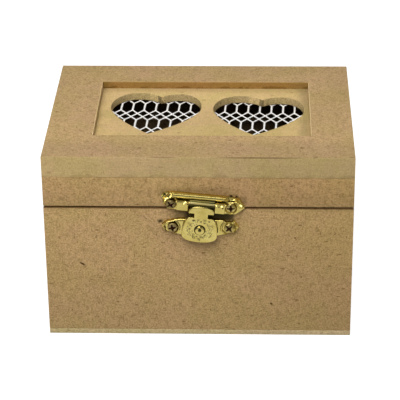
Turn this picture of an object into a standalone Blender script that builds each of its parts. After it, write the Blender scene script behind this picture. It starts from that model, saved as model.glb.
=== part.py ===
"""A small unfinished fibreboard box with a hinged lid.

The lid is a thick slab with a window in it. A thin panel with two heart-shaped holes sits
a little below the slab's top, and a lattice sheet closes the hearts from below. A brass
latch with a swinging flap is screwed to the front, and two brass hinges to the back.

Metres, +Z up. The origin is the middle of the underside, and the front faces -Y.
"""
import math

import bmesh
import bpy
from mathutils import Matrix, Vector

# The box
WIDTH = 0.110
DEPTH = 0.081
HEIGHT = 0.072
WALL = 0.006
BOTTOM_THICKNESS = 0.002
SLAB_THICKNESS = 0.008
RIM_HEIGHT = 0.0117
SEAM_GAP = 0.0005
GLUE_GAP = 0.0003

# The window in the lid, by the width of the frame left on each side
FRAME_LEFT = 0.0168
FRAME_RIGHT = 0.0151
FRAME_FRONT = 0.0181
FRAME_BACK = 0.0159

# The panel with the hearts
PANEL_DROP = 0.0025
PANEL_THICKNESS = 0.0027
HEART_MARGIN_LEFT = 0.0039
HEART_MARGIN_RIGHT = 0.0023
HEART_GAP = 0.0045
LEFT_HEART_MARGIN_FRONT = 0.0066
LEFT_HEART_MARGIN_BACK = 0.0051
RIGHT_HEART_MARGIN_FRONT = 0.0057
RIGHT_HEART_MARGIN_BACK = 0.0076
HEART_TURN = math.radians(-4.5)
HEART_STEPS = 6

# The lattice: rows of upright bars joined by bands of two rows of diamonds
LATTICE_THICKNESS = 0.0008
LATTICE_PITCH = 0.00434
LATTICE_BAR = 0.0008
LATTICE_UPRIGHT = 0.0059
LATTICE_RISE = 0.0029
LATTICE_BORDER = 0.0012
LATTICE_TURN = math.radians(-1.2)
LATTICE_SHIFT_X = -0.0011
LATTICE_SHIFT_Y = 0.0090
SMALLEST_HOLE = 4e-7

# Sheet brass: the air under a plate, the play beside a moving edge, and a pin's play
PLATE_GAP = 0.0002
SIDE_PLAY = 0.0003
PIN_PLAY = 0.0002
ROUND_SIDES = 16
SMALL_ROUND_SIDES = 10
CORNER_STEPS = 3

# The latch's upper plate, on the lid, in its own tilted frame: u to the right, v up
LATCH_X = 0.0015
LATCH_RISE = 0.0024
LATCH_TILT = math.radians(5.5)
LATCH_PLATE_THICKNESS = 0.0008
UPPER_HALF_LENGTH = 0.0149
UPPER_TOP_HALF = 0.0127
UPPER_BOTTOM_HALF = 0.0120
UPPER_TOP = 0.0022
UPPER_BOTTOM = -0.0035
UPPER_TIP = -0.0004
UPPER_CORNER_RADIUS = 0.0006
UPPER_SCREW_LEFT_U = -0.0110
UPPER_SCREW_RIGHT_U = 0.0102
UPPER_SCREW_V = -0.00025
UPPER_SCREW_LOOSENESS = 0.0011
UPPER_LEFT_LEAN = math.radians(12)
UPPER_RIGHT_LEAN = math.radians(20)
UPPER_HOLE_PLAY = 0.0004
BAR_HALF_LENGTH = 0.0108
BAR_RADIUS = 0.0005

# The latch's hinge
LATCH_AXIS_STANDOFF = 0.0018
LATCH_BARREL_RADIUS = 0.0013
LATCH_PIN_RADIUS = 0.0005
LATCH_PIN_PROUD = 0.0003
EAR_START = 0.00475
LEFT_EAR_LENGTH = 0.0043
RIGHT_EAR_LENGTH = 0.0034
EAR_FOOT_LIFT = 0.0002

# The flap, with the knob level with the middle of the catch plate
FLAP_THICKNESS = 0.0007
FLAP_TOP = -0.0004
FLAP_DOME_HALF = 0.0045
FLAP_DOME_RISE = 0.0023
FLAP_DOME_SKIRT = 0.0009
NECK_HALF = 0.00245
NECK_LENGTH = 0.0016
SHOULDER_HALF = 0.0049
SKIRT_HALF = 0.00615
SKIRT_WIDEST_BELOW_KNOB = 0.0013
FLAP_END_BELOW_KNOB = 0.0047
KNOB_RADIUS = 0.0016
KNOB_HOLE_RADIUS = 0.00205
KNOB_PROUD = 0.0009
KNOB_DIMPLE_RADIUS = 0.0005
KNOB_DIMPLE_DEPTH = 0.0003
KNOB_FLANGE_RADIUS = 0.0027
KNOB_FLANGE_THICKNESS = 0.0004

# The catch plate, on the body
CATCH_X = 0.0007
CATCH_DROP = 0.0074
CATCH_TILT = math.radians(1.2)
CATCH_HALF_LENGTH = 0.0139
CATCH_TIP = 0.0005
CATCH_TOP = 0.0030
CATCH_TOP_HALF = 0.0082
CATCH_STEP = 0.0008
CATCH_SHOULDER_HALF = 0.0124
CATCH_BOTTOM = -0.0039
CATCH_FOOT_HALF = 0.0121
CATCH_FOOT = -0.0019
CATCH_SCREW_U = 0.0102
CATCH_SCREW_V = -0.0001
CATCH_BUTTON_RADIUS = 0.0013
CATCH_BUTTON_HEIGHT = 0.0004

# Screws
LATCH_HEAD_RADIUS = 0.0020
LATCH_HEAD_HEIGHT = 0.0009
LATCH_SHANK_RADIUS = 0.0007
HINGE_HEAD_RADIUS = 0.0014
HINGE_HEAD_HEIGHT = 0.0004
HINGE_SHANK_RADIUS = 0.00055
SCREW_COVER = 0.0016
SCREW_PLAY = 0.00015
POINT_LENGTH = 0.0012
CROSS_DEPTH_SHARE = 0.6
CROSS_REACH_SHARE = 0.47
CROSS_WIDTH_SHARE = 0.22
HEAD_FLAT_SHARE = 0.62

# Pilot holes that were bored in the wrong place: (from the left side, above or below the seam)
STRAY_HOLE_DEPTH = 0.0030
STRAY_LID_HOLES = ((0.0666, 0.0045, 0.0006), (0.0686, 0.0045, 0.0004))
STRAY_BODY_HOLES = ((0.0415, -0.0057, 0.0006),)

# The two hinges at the back
HINGE_INSET = 0.0150
HINGE_WIDTH = 0.0160
HINGE_LEAF_HEIGHT = 0.0068
HINGE_LEAF_THICKNESS = 0.0006
HINGE_BARREL_RADIUS = 0.0011
HINGE_PIN_RADIUS = 0.00045
HINGE_PIN_PROUD = 0.0003
HINGE_MIDDLE_KNUCKLE = 0.0074
HINGE_SCREW_SPACING = 0.0092
HINGE_SCREW_DROP = 0.0043
HINGE_CORNER_RADIUS = 0.0008

# Levels and places worked out from the sizes above
SLAB_BOTTOM = HEIGHT - SLAB_THICKNESS
SEAM_HEIGHT = SLAB_BOTTOM - RIM_HEIGHT
BODY_TOP = SEAM_HEIGHT - SEAM_GAP / 2
RIM_BOTTOM = SEAM_HEIGHT + SEAM_GAP / 2
WALL_BOTTOM = BOTTOM_THICKNESS + GLUE_GAP
RIM_TOP = SLAB_BOTTOM - GLUE_GAP
HALF_WIDTH = WIDTH / 2
HALF_DEPTH = DEPTH / 2
WINDOW_LEFT = -HALF_WIDTH + FRAME_LEFT
WINDOW_RIGHT = HALF_WIDTH - FRAME_RIGHT
WINDOW_FRONT = -HALF_DEPTH + FRAME_FRONT
WINDOW_BACK = HALF_DEPTH - FRAME_BACK
PANEL_TOP = HEIGHT - PANEL_DROP
PANEL_BOTTOM = PANEL_TOP - PANEL_THICKNESS
LATTICE_TOP = PANEL_BOTTOM - GLUE_GAP
LATTICE_BOTTOM = LATTICE_TOP - LATTICE_THICKNESS

LATCH_BORE_RADIUS = LATCH_PIN_RADIUS + PIN_PLAY
LATCH_AXIS_Z = SEAM_HEIGHT + LATCH_RISE
CATCH_Z = SEAM_HEIGHT - CATCH_DROP
PLATE_FACE = PLATE_GAP + LATCH_PLATE_THICKNESS
KNOB_V = -(LATCH_AXIS_Z - CATCH_Z) / math.cos(LATCH_TILT)
UPPER_SCREWS = (("latch_screw_left", UPPER_SCREW_LEFT_U, UPPER_LEFT_LEAN),
                ("latch_screw_right", UPPER_SCREW_RIGHT_U, UPPER_RIGHT_LEAN))

HINGE_BORE_RADIUS = HINGE_PIN_RADIUS + PIN_PLAY
HINGE_STANDOFF = PLATE_GAP + HINGE_BARREL_RADIUS
HINGE_AXIS_Y = HALF_DEPTH + HINGE_STANDOFF
HINGE_X = HALF_WIDTH - HINGE_INSET - HINGE_WIDTH / 2
HINGE_LEAF_FACE = PLATE_GAP + HINGE_LEAF_THICKNESS

# How a flat piece drawn in (u, v, outward) is turned to lie on a face of the box
ON_FRONT = (math.pi / 2, 0.0, 0.0)
ON_BACK_HANGING = (-math.pi / 2, 0.0, 0.0)
ON_BACK_STANDING = (-math.pi / 2, math.pi, 0.0)

# How a prism drawn as (v, outward) and grown along Z is turned to run along u
ALONG_U = Matrix(((0, 0, 1, 0), (1, 0, 0, 0), (0, 1, 0, 0), (0, 0, 0, 1)))


def clear_scene():
    """Remove whatever the scene holds before the model is made."""
    for old in list(bpy.data.objects):
        bpy.data.objects.remove(old, do_unlink=True)


def make_material(name, color, roughness, metallic=0.0):
    """A plain surface with one colour."""
    material = bpy.data.materials.new(name)
    material.use_nodes = True
    surface = material.node_tree.nodes["Principled BSDF"]
    surface.inputs["Base Color"].default_value = (*color, 1.0)
    surface.inputs["Roughness"].default_value = roughness
    surface.inputs["Metallic"].default_value = metallic
    return material


def rectangle(left, front, right, back):
    """Corners of a rectangle, anticlockwise."""
    return [(left, front), (right, front), (right, back), (left, back)]


def circle(radius, centre=(0.0, 0.0), sides=ROUND_SIDES):
    """Points round a circle, anticlockwise."""
    angles = [2 * math.pi * (i + 0.5) / sides for i in range(sides)]
    return [(centre[0] + radius * math.cos(a), centre[1] + radius * math.sin(a)) for a in angles]


def curve_points(start, leave, arrive, end, steps):
    """Points along a cubic curve, with its start and without its end."""
    points = []
    for i in range(steps):
        t = i / steps
        weights = ((1 - t) ** 3, 3 * t * (1 - t) ** 2, 3 * t * t * (1 - t), t ** 3)
        corners = (start, leave, arrive, end)
        points.append(tuple(sum(w * c[k] for w, c in zip(weights, corners)) for k in (0, 1)))
    return points


def mirrored(half):
    """A closed outline from its right half, given from its lowest point up to its highest."""
    left = [(-u, v) for u, v in reversed(half) if u > 1e-9]
    return list(half) + left


def rounded(outline, radius):
    """The outline with each corner replaced by a short arc."""
    points = []
    count = len(outline)
    for i in range(count):
        corner = Vector(outline[i])
        back = Vector(outline[i - 1]) - corner
        ahead = Vector(outline[(i + 1) % count]) - corner
        reach = min(radius, back.length / 3, ahead.length / 3)
        start = corner + back.normalized() * reach
        end = corner + ahead.normalized() * reach
        for step in range(CORNER_STEPS + 1):
            t = step / CORNER_STEPS
            point = start * (1 - t) ** 2 + corner * 2 * t * (1 - t) + end * t * t
            points.append(tuple(point))
    return points


def turned(points, angle, centre=(0.0, 0.0)):
    """The points turned about a centre."""
    cosine = math.cos(angle)
    sine = math.sin(angle)
    result = []
    for x, y in points:
        dx = x - centre[0]
        dy = y - centre[1]
        result.append((centre[0] + dx * cosine - dy * sine, centre[1] + dx * sine + dy * cosine))
    return result


def finish_mesh(bm, name):
    """Make a mesh of a closed bmesh, with its faces pointing out."""
    bmesh.ops.recalc_face_normals(bm, faces=bm.faces)
    mesh = bpy.data.meshes.new(name)
    bm.to_mesh(mesh)
    bm.free()
    return mesh


def fill_between(bm, loops, height):
    """Flat faces between an outline and the holes in it, at a height. Returns the faces."""
    edges = []
    for loop in loops:
        corners = [bm.verts.new((x, y, height)) for x, y in loop]
        edges += [bm.edges.new((corners[i - 1], corners[i])) for i in range(len(corners))]
    filled = bmesh.ops.triangle_fill(bm, edges=edges, use_beauty=True)
    return [item for item in filled["geom"] if isinstance(item, bmesh.types.BMFace)]


def prism(name, outline, low, high, holes=()):
    """A flat plate with holes, between two levels."""
    bm = bmesh.new()
    faces = fill_between(bm, [outline, *holes], low)
    grown = bmesh.ops.extrude_face_region(bm, geom=faces, use_keep_orig=True)
    raised = [item for item in grown["geom"] if isinstance(item, bmesh.types.BMVert)]
    bmesh.ops.translate(bm, verts=raised, vec=(0, 0, high - low))
    return finish_mesh(bm, name)


def block(name, low, high):
    """A board between two opposite corners."""
    outline = rectangle(low[0], low[1], high[0], high[1])
    return prism(name, outline, low[2], high[2])


def along_u(name, profile, start, end, holes=()):
    """A bar along u, from its profile in (v, outward)."""
    mesh = prism(name, profile, start, end, holes)
    mesh.transform(ALONG_U)
    return mesh


def tube_along_u(name, start, end, outer, bore, standoff, sides=ROUND_SIDES):
    """A knuckle: a tube along u, with its axis at v = 0 and a distance out from the face."""
    centre = (0.0, standoff)
    return along_u(name, circle(outer, centre, sides), start, end, [circle(bore, centre, sides)])


def turned_piece(name, profile, sides=ROUND_SIDES, sockets=()):
    """A round piece about its own Z axis from (radius, height) points, lowest first.

    A last radius above 0 is closed by a flat face, which may have a sunk shape in it:
    sockets holds (outline, depth) pairs.
    """
    bm = bmesh.new()
    rings = []
    for radius, height in profile:
        if radius > 0:
            rings.append([bm.verts.new((x, y, height)) for x, y in circle(radius, sides=sides)])
        else:
            rings.append([bm.verts.new((0, 0, height))])
    for lower, upper in zip(rings, rings[1:]):
        for i in range(sides):
            if len(lower) == 1:
                bm.faces.new((lower[0], upper[i], upper[i - 1]))
            elif len(upper) == 1:
                bm.faces.new((lower[i - 1], lower[i], upper[0]))
            else:
                bm.faces.new((lower[i - 1], lower[i], upper[i], upper[i - 1]))
    if len(rings[0]) > 1:
        bm.faces.new(list(reversed(rings[0])))
    if len(rings[-1]) > 1 and not sockets:
        bm.faces.new(rings[-1])
    for outline, depth in sockets:
        height = profile[-1][1]
        rim = [bm.verts.new((x, y, height)) for x, y in outline]
        floor = [bm.verts.new((x, y, height - depth)) for x, y in outline]
        count = len(outline)
        edges = [bm.edges.new((rim[i - 1], rim[i])) for i in range(count)]
        edges += [bm.edges.get((rings[-1][i - 1], rings[-1][i])) for i in range(sides)]
        bmesh.ops.triangle_fill(bm, edges=edges, use_beauty=True)
        for i in range(count):
            bm.faces.new((rim[i - 1], rim[i], floor[i], floor[i - 1]))
        bm.faces.new(floor)
    return finish_mesh(bm, name)


def add_piece(name, mesh, material, location=(0, 0, 0), rotation=(0, 0, 0), parent=None, smooth=False):
    """Put a named piece into the scene, placed in world terms whatever its parent."""
    piece = bpy.data.objects.new(name, mesh)
    bpy.context.scene.collection.objects.link(piece)
    piece.data.materials.clear()
    piece.data.materials.append(material)
    piece.location = location
    piece.rotation_euler = rotation
    if parent is not None:
        piece.parent = parent
        piece.matrix_parent_inverse = Matrix.Translation(parent.location).inverted()
    if smooth:
        piece.data.shade_smooth()
        piece.data.set_sharp_from_angle(angle=math.radians(35))
    return piece


def combine(piece, mesh, operation, label):
    """Join a hidden shape to a piece, or cut it out of the piece, in the piece's own frame."""
    helper = bpy.data.objects.new(f"{piece.name}_{label}", mesh)
    bpy.context.scene.collection.objects.link(helper)
    helper.hide_render = True
    helper.display_type = "WIRE"
    helper.parent = piece
    modifier = piece.modifiers.new(label, "BOOLEAN")
    modifier.operation = operation
    modifier.solver = "EXACT"
    modifier.object = helper


def add_pivot(name, location):
    """An empty that stands on a joint's axis."""
    pivot = bpy.data.objects.new(name, None)
    bpy.context.scene.collection.objects.link(pivot)
    pivot.location = location
    return pivot


def bore_cutter(name, bores, outward, sides):
    """Round holes bored into the front or back wall: each is (x, z, radius, depth, rise).

    rise is how far the bore climbs for each length it goes in.
    """
    bm = bmesh.new()
    face = outward * HALF_DEPTH
    for x, z, radius, depth, rise in bores:
        rings = []
        for distance in (-GLUE_GAP, depth):
            y = face - outward * distance
            centre = (x, z + rise * distance)
            rings.append([bm.verts.new((u, y, v)) for u, v in circle(radius, centre, sides)])
        for i in range(sides):
            bm.faces.new((rings[0][i - 1], rings[0][i], rings[1][i], rings[1][i - 1]))
        bm.faces.new(rings[0])
        bm.faces.new(list(reversed(rings[1])))
    return finish_mesh(bm, name)


def on_face(u, v, x, z, tilt=0.0):
    """World x and z of a point given in a front plate's tilted frame."""
    return x + u * math.cos(tilt) + v * math.sin(tilt), z - u * math.sin(tilt) + v * math.cos(tilt)


def heart_outline(left, front, right, back):
    """A heart that fills a rectangle, point towards the front, before it is turned."""
    half = (right - left) / 2
    middle = (left + right) / 2
    tall = back - front
    notch = (0.0, front + 0.905 * tall)
    lobe = (0.45 * half, back)
    side = (half, front + 0.655 * tall)
    tip = (0.0, front)
    right_side = curve_points(tip, (0.24 * half, front + 0.09 * tall),
                              (half, front + 0.40 * tall), side, HEART_STEPS)
    right_side += curve_points(side, (half, front + 0.84 * tall),
                               (0.80 * half, back), lobe, HEART_STEPS)
    right_side += curve_points(lobe, (0.25 * half, back),
                               (0.10 * half, front + 0.93 * tall), notch, HEART_STEPS)
    right_side.append(notch)
    return [(middle + u, v) for u, v in mirrored(right_side)]


def heart_holes():
    """The two hearts, side by side in the panel."""
    left = WINDOW_LEFT + HEART_MARGIN_LEFT
    right = WINDOW_RIGHT - HEART_MARGIN_RIGHT
    width = (right - left - HEART_GAP) / 2
    places = ((left, LEFT_HEART_MARGIN_FRONT, LEFT_HEART_MARGIN_BACK),
              (right - width, RIGHT_HEART_MARGIN_FRONT, RIGHT_HEART_MARGIN_BACK))
    hearts = []
    for start, front_margin, back_margin in places:
        front = WINDOW_FRONT + front_margin
        back = WINDOW_BACK - back_margin
        centre = (start + width / 2, (front + back) / 2)
        hearts.append(turned(heart_outline(start, front, start + width, back), HEART_TURN, centre))
    return hearts


def inset(polygon, distance):
    """A convex polygon, anticlockwise, with each side moved inwards."""
    lines = []
    count = len(polygon)
    for i in range(count):
        start = Vector(polygon[i])
        along = (Vector(polygon[(i + 1) % count]) - start).normalized()
        lines.append((start + Vector((-along.y, along.x)) * distance, along))
    corners = []
    for i in range(count):
        (p, d), (q, e) = lines[i - 1], lines[i]
        reach = (q - p).cross(e) / d.cross(e)
        corners.append(tuple(p + d * reach))
    return corners


def clip(polygon, low, high):
    """The part of a convex polygon inside a rectangle."""
    for axis in (0, 1):
        for limit, side in ((low[axis], 1), (high[axis], -1)):
            kept = []
            for i, point in enumerate(polygon):
                before = polygon[i - 1]
                here = side * (point[axis] - limit)
                there = side * (before[axis] - limit)
                if here * there < 0:
                    share = there / (there - here)
                    kept.append(tuple(before[k] + (point[k] - before[k]) * share for k in (0, 1)))
                if here >= 0:
                    kept.append(point)
            polygon = kept
            if len(polygon) < 3:
                return []
    return polygon


def area(polygon):
    """The area of a polygon, above 0 if it runs anticlockwise."""
    pairs = zip(polygon, polygon[1:] + polygon[:1])
    return sum(p[0] * q[1] - q[0] * p[1] for p, q in pairs) / 2


def lattice_cells(column, row):
    """The three openings that belong to one upright bar: a tall hexagon and two diamonds."""
    pitch = LATTICE_PITCH
    rise = LATTICE_RISE
    x = (column + (row % 2) / 2) * pitch
    y = row * (LATTICE_UPRIGHT + 3 * rise)
    top = y + LATTICE_UPRIGHT
    half = pitch / 2
    hexagon = [(x, y), (x + half, y - rise), (x + pitch, y),
               (x + pitch, top), (x + half, top + rise), (x, top)]
    upper = [(x, y), (x - half, y - rise), (x, y - 2 * rise), (x + half, y - rise)]
    lower = [(x + half, y - rise), (x, y - 2 * rise),
             (x + half, y - 3 * rise), (x + pitch, y - 2 * rise)]
    return hexagon, upper, lower


def lattice_holes(low, high):
    """Every opening of the lattice inside a rectangle."""
    centre = ((low[0] + high[0]) / 2, (low[1] + high[1]) / 2)
    origin = (centre[0] + LATTICE_SHIFT_X, centre[1] + LATTICE_SHIFT_Y)
    columns = math.ceil((high[0] - low[0]) / LATTICE_PITCH) + 2
    rows = math.ceil((high[1] - low[1]) / (LATTICE_UPRIGHT + 3 * LATTICE_RISE)) + 2
    holes = []
    for row in range(-rows, rows):
        for column in range(-columns, columns):
            for cell in lattice_cells(column, row):
                moved = [(origin[0] + x, origin[1] + y) for x, y in inset(cell, LATTICE_BAR / 2)]
                hole = clip(turned(moved, LATTICE_TURN, origin), low, high)
                if hole and abs(area(hole)) > SMALLEST_HOLE:
                    holes.append(hole)
    return holes


def screw_mesh(name, head_radius, head_height, shank_radius, under_head, sides):
    """A screw along Z: its head's underside at 0, its point in the wood, a cross in its head.

    under_head is how far the head's underside stands off the wood.
    """
    depth = WALL - SCREW_COVER + under_head
    flat = HEAD_FLAT_SHARE * head_radius
    profile = [(0, -depth), (shank_radius, -depth + POINT_LENGTH), (shank_radius, 0),
               (head_radius, 0), (0.95 * head_radius, 0.5 * head_height), (flat, head_height)]
    reach = CROSS_REACH_SHARE * head_radius
    half = CROSS_WIDTH_SHARE * head_radius / 2
    arm = [(half, half), (half, reach), (-half, reach)]
    cross = []
    for quarter in range(4):
        cross += turned(arm, quarter * math.pi / 2)
    return turned_piece(name, profile, sides, [(cross, CROSS_DEPTH_SHARE * head_height)])


def build_body(board, pale_board):
    """The open box: a thin bottom board and four walls."""
    bottom = block("bottom_board", (-HALF_WIDTH, -HALF_DEPTH, 0),
                   (HALF_WIDTH, HALF_DEPTH, BOTTOM_THICKNESS))
    add_piece("bottom_board", bottom, pale_board)
    bite = WALL - SCREW_COVER + GLUE_GAP
    catch_radius = LATCH_SHANK_RADIUS + SCREW_PLAY
    front_bores = []
    for side in (-1, 1):
        x, z = on_face(side * CATCH_SCREW_U, CATCH_SCREW_V, CATCH_X, CATCH_Z, CATCH_TILT)
        front_bores.append((x, z, catch_radius, bite, 0.0))
    front_bores += stray_bores(STRAY_BODY_HOLES)
    back_bores = hinge_bores(-1)
    for name, outward, bores, sides in (("front_wall", -1, front_bores, ROUND_SIDES),
                                        ("back_wall", 1, back_bores, SMALL_ROUND_SIDES)):
        near = outward * HALF_DEPTH
        far = outward * (HALF_DEPTH - WALL)
        wall = block(name, (-HALF_WIDTH, min(near, far), WALL_BOTTOM),
                     (HALF_WIDTH, max(near, far), BODY_TOP))
        piece = add_piece(name, wall, board)
        combine(piece, bore_cutter(f"{name}_bores", bores, outward, sides), "DIFFERENCE", "bores")
    add_side_boards("wall", board, WALL_BOTTOM, BODY_TOP, None)


def stray_bores(holes):
    """The pilot holes in the front that hold no screw."""
    return [(from_left - HALF_WIDTH, SEAM_HEIGHT + above_seam, radius, STRAY_HOLE_DEPTH, 0.0)
            for from_left, above_seam, radius in holes]


def add_side_boards(kind, board, low, high, parent):
    """The left and right boards, which stand between the front and back ones."""
    reach = HALF_DEPTH - WALL - GLUE_GAP
    for side, sign in (("left", -1), ("right", 1)):
        near = sign * HALF_WIDTH
        far = sign * (HALF_WIDTH - WALL)
        mesh = block(f"{side}_{kind}", (min(near, far), -reach, low), (max(near, far), reach, high))
        add_piece(f"{side}_{kind}", mesh, board, parent=parent)


def build_lid(board, panel_board, white, pivot):
    """The slab with its window, the hearts, the lattice and the rim below the slab."""
    window = rectangle(WINDOW_LEFT, WINDOW_FRONT, WINDOW_RIGHT, WINDOW_BACK)
    outside = rectangle(-HALF_WIDTH, -HALF_DEPTH, HALF_WIDTH, HALF_DEPTH)
    slab = prism("top_frame", outside, SLAB_BOTTOM, HEIGHT, [window])
    add_piece("top_frame", slab, board, parent=pivot)

    low = (WINDOW_LEFT + GLUE_GAP, WINDOW_FRONT + GLUE_GAP)
    high = (WINDOW_RIGHT - GLUE_GAP, WINDOW_BACK - GLUE_GAP)
    sheet = rectangle(*low, *high)
    panel = prism("heart_panel", sheet, PANEL_BOTTOM, PANEL_TOP, heart_holes())
    add_piece("heart_panel", panel, panel_board, parent=pivot)

    inner_low = (low[0] + LATTICE_BORDER, low[1] + LATTICE_BORDER)
    inner_high = (high[0] - LATTICE_BORDER, high[1] - LATTICE_BORDER)
    lattice = prism("lattice_screen", sheet, LATTICE_BOTTOM, LATTICE_TOP,
                    lattice_holes(inner_low, inner_high))
    add_piece("lattice_screen", lattice, white, parent=pivot)

    bite = WALL - SCREW_COVER + GLUE_GAP
    front_bores = stray_bores(STRAY_LID_HOLES)
    for _, u, lean in UPPER_SCREWS:
        x, z = on_face(u, UPPER_SCREW_V, LATCH_X, LATCH_AXIS_Z, LATCH_TILT)
        front_bores.append((x, z, LATCH_SHANK_RADIUS + SCREW_PLAY, bite, math.tan(lean)))
    for name, outward, bores, sides in (("front_rim", -1, front_bores, ROUND_SIDES),
                                        ("back_rim", 1, hinge_bores(1), SMALL_ROUND_SIDES)):
        near = outward * HALF_DEPTH
        far = outward * (HALF_DEPTH - WALL)
        rim = block(name, (-HALF_WIDTH, min(near, far), RIM_BOTTOM),
                    (HALF_WIDTH, max(near, far), RIM_TOP))
        piece = add_piece(name, rim, board, parent=pivot)
        combine(piece, bore_cutter(f"{name}_bores", bores, outward, sides), "DIFFERENCE", "bores")
    add_side_boards("rim", board, RIM_BOTTOM, RIM_TOP, pivot)


def build_upper_plate(brass, screw_metal, pivot):
    """The plate on the lid that carries the flap's hinge, with its pin and screws."""
    half = [(EAR_START, UPPER_BOTTOM), (UPPER_BOTTOM_HALF, UPPER_BOTTOM),
            (UPPER_HALF_LENGTH, UPPER_TIP), (UPPER_TOP_HALF, UPPER_TOP)]
    outline = upper_plate_outline((EAR_START, LATCH_BARREL_RADIUS), half)
    middle = (PLATE_GAP + PLATE_FACE) / 2
    hole_radius = LATCH_SHANK_RADIUS + UPPER_HOLE_PLAY
    holes = [circle(hole_radius, (u, UPPER_SCREW_V - math.tan(lean) * middle)) for _, u, lean in UPPER_SCREWS]
    rotation = (ON_FRONT[0], LATCH_TILT, 0.0)
    location = (LATCH_X, -HALF_DEPTH, LATCH_AXIS_Z)
    mesh = prism("latch_upper_plate", outline, PLATE_GAP, PLATE_FACE, holes)
    plate = add_piece("latch_upper_plate", mesh, brass, location, rotation, pivot, smooth=True)
    bar = along_u("bar", circle(BAR_RADIUS, (UPPER_TOP - BAR_RADIUS, PLATE_FACE)),
                  -BAR_HALF_LENGTH, BAR_HALF_LENGTH)
    combine(plate, bar, "UNION", "bar")
    ears = (("left_ear", -EAR_START - LEFT_EAR_LENGTH, -EAR_START),
            ("right_ear", EAR_START, EAR_START + RIGHT_EAR_LENGTH))
    bore = circle(LATCH_BORE_RADIUS, (0.0, LATCH_AXIS_STANDOFF))
    for label, start, end in ears:
        combine(plate, along_u(label, ear_profile(), start, end, [bore]), "UNION", label)

    pin = along_u("latch_pin", circle(LATCH_PIN_RADIUS, (0.0, LATCH_AXIS_STANDOFF)),
                  ears[0][1] - LATCH_PIN_PROUD, ears[1][2] + LATCH_PIN_PROUD)
    add_piece("latch_pin", pin, brass, location, rotation, pivot, smooth=True)

    seat = PLATE_FACE + PLATE_GAP + UPPER_SCREW_LOOSENESS
    screw = screw_mesh("latch_screw", LATCH_HEAD_RADIUS, LATCH_HEAD_HEIGHT, LATCH_SHANK_RADIUS, seat,
                       ROUND_SIDES)
    for name, u, lean in UPPER_SCREWS:
        reach = seat * math.cos(lean)
        x, z = on_face(u, UPPER_SCREW_V - seat * math.sin(lean), LATCH_X, LATCH_AXIS_Z, LATCH_TILT)
        leaning = (rotation[0] + lean, rotation[1], rotation[2])
        add_piece(name, screw.copy(), screw_metal, (x, -HALF_DEPTH - reach, z), leaning, pivot, smooth=True)


def ear_profile():
    """An ear's side view in (v, outward): rolled round the pin, and down to the plate's foot."""
    radius = LATCH_BARREL_RADIUS
    foot = (UPPER_BOTTOM + UPPER_CORNER_RADIUS / 2, PLATE_FACE + EAR_FOOT_LIFT)
    inside = PLATE_GAP + LATCH_PLATE_THICKNESS / 2
    reach = math.hypot(foot[0], foot[1] - LATCH_AXIS_STANDOFF)
    leave = math.atan2(foot[1] - LATCH_AXIS_STANDOFF, foot[0]) % (2 * math.pi)
    leave -= math.acos(radius / reach)
    steps = ROUND_SIDES // 2
    arc = [(radius * math.cos(leave * i / steps), LATCH_AXIS_STANDOFF + radius * math.sin(leave * i / steps))
           for i in range(steps + 1)]
    return [(foot[0], inside), (radius, inside), *arc, foot]


def upper_plate_outline(first, half):
    """The upper plate's outline: pointed ends, and a gap at the bottom for the flap's barrel."""
    right_side = [first, *half]
    left_side = [(-u, v) for u, v in reversed(right_side)]
    return rounded(right_side + left_side, UPPER_CORNER_RADIUS)


def flap_outline():
    """The flap: a domed top, a neck, and a skirt that widens to a rounded end."""
    dome_foot = FLAP_TOP - FLAP_DOME_RISE
    neck_top = dome_foot - FLAP_DOME_SKIRT
    neck_bottom = neck_top - NECK_LENGTH
    widest = KNOB_V - SKIRT_WIDEST_BELOW_KNOB
    end = KNOB_V - FLAP_END_BELOW_KNOB
    half = curve_points((0.0, end), (0.60 * SKIRT_HALF, end),
                        (1.02 * SKIRT_HALF, widest - 0.55 * (widest - end)),
                        (SKIRT_HALF, widest), 2 * CORNER_STEPS)
    half += [(SKIRT_HALF, widest), (SHOULDER_HALF, neck_bottom), (NECK_HALF, neck_bottom),
             (NECK_HALF, neck_top), (FLAP_DOME_HALF, neck_top)]
    quarter = 2 * CORNER_STEPS
    for i in range(quarter + 1):
        angle = math.pi / 2 * i / quarter
        half.append((FLAP_DOME_HALF * math.cos(angle), dome_foot + FLAP_DOME_RISE * math.sin(angle)))
    return mirrored([(u if u > 1e-7 else 0.0, v) for u, v in half])


def build_flap(brass):
    """The swinging flap and the knob in it, with their origins on the flap's hinge axis."""
    location = (LATCH_X, -HALF_DEPTH - LATCH_AXIS_STANDOFF, LATCH_AXIS_Z)
    rotation = (ON_FRONT[0], LATCH_TILT, 0.0)
    front = LATCH_BARREL_RADIUS
    back = front - FLAP_THICKNESS
    hole = circle(KNOB_HOLE_RADIUS, (0.0, KNOB_V))
    mesh = prism("latch_flap", flap_outline(), back, front, [hole])
    flap = add_piece("latch_flap", mesh, brass, location, rotation, smooth=True)
    half_barrel = EAR_START - SIDE_PLAY
    barrel = tube_along_u("barrel", -half_barrel, half_barrel, LATCH_BARREL_RADIUS,
                          LATCH_BORE_RADIUS, 0.0)
    combine(flap, barrel, "UNION", "barrel")

    flange_top = back - PLATE_GAP
    flange_bottom = flange_top - KNOB_FLANGE_THICKNESS
    crown = front + KNOB_PROUD
    profile = [(KNOB_FLANGE_RADIUS, flange_bottom), (KNOB_FLANGE_RADIUS, flange_top),
               (KNOB_RADIUS, flange_top), (KNOB_RADIUS, front + 0.35 * KNOB_PROUD),
               (0.86 * KNOB_RADIUS, front + 0.75 * KNOB_PROUD), (0.55 * KNOB_RADIUS, crown),
               (KNOB_DIMPLE_RADIUS, crown), (0, crown - KNOB_DIMPLE_DEPTH)]
    knob = turned_piece("latch_knob", profile)
    knob.transform(Matrix.Translation((0, KNOB_V, 0)))
    add_piece("latch_knob", knob, brass, location, rotation, smooth=True)


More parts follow.
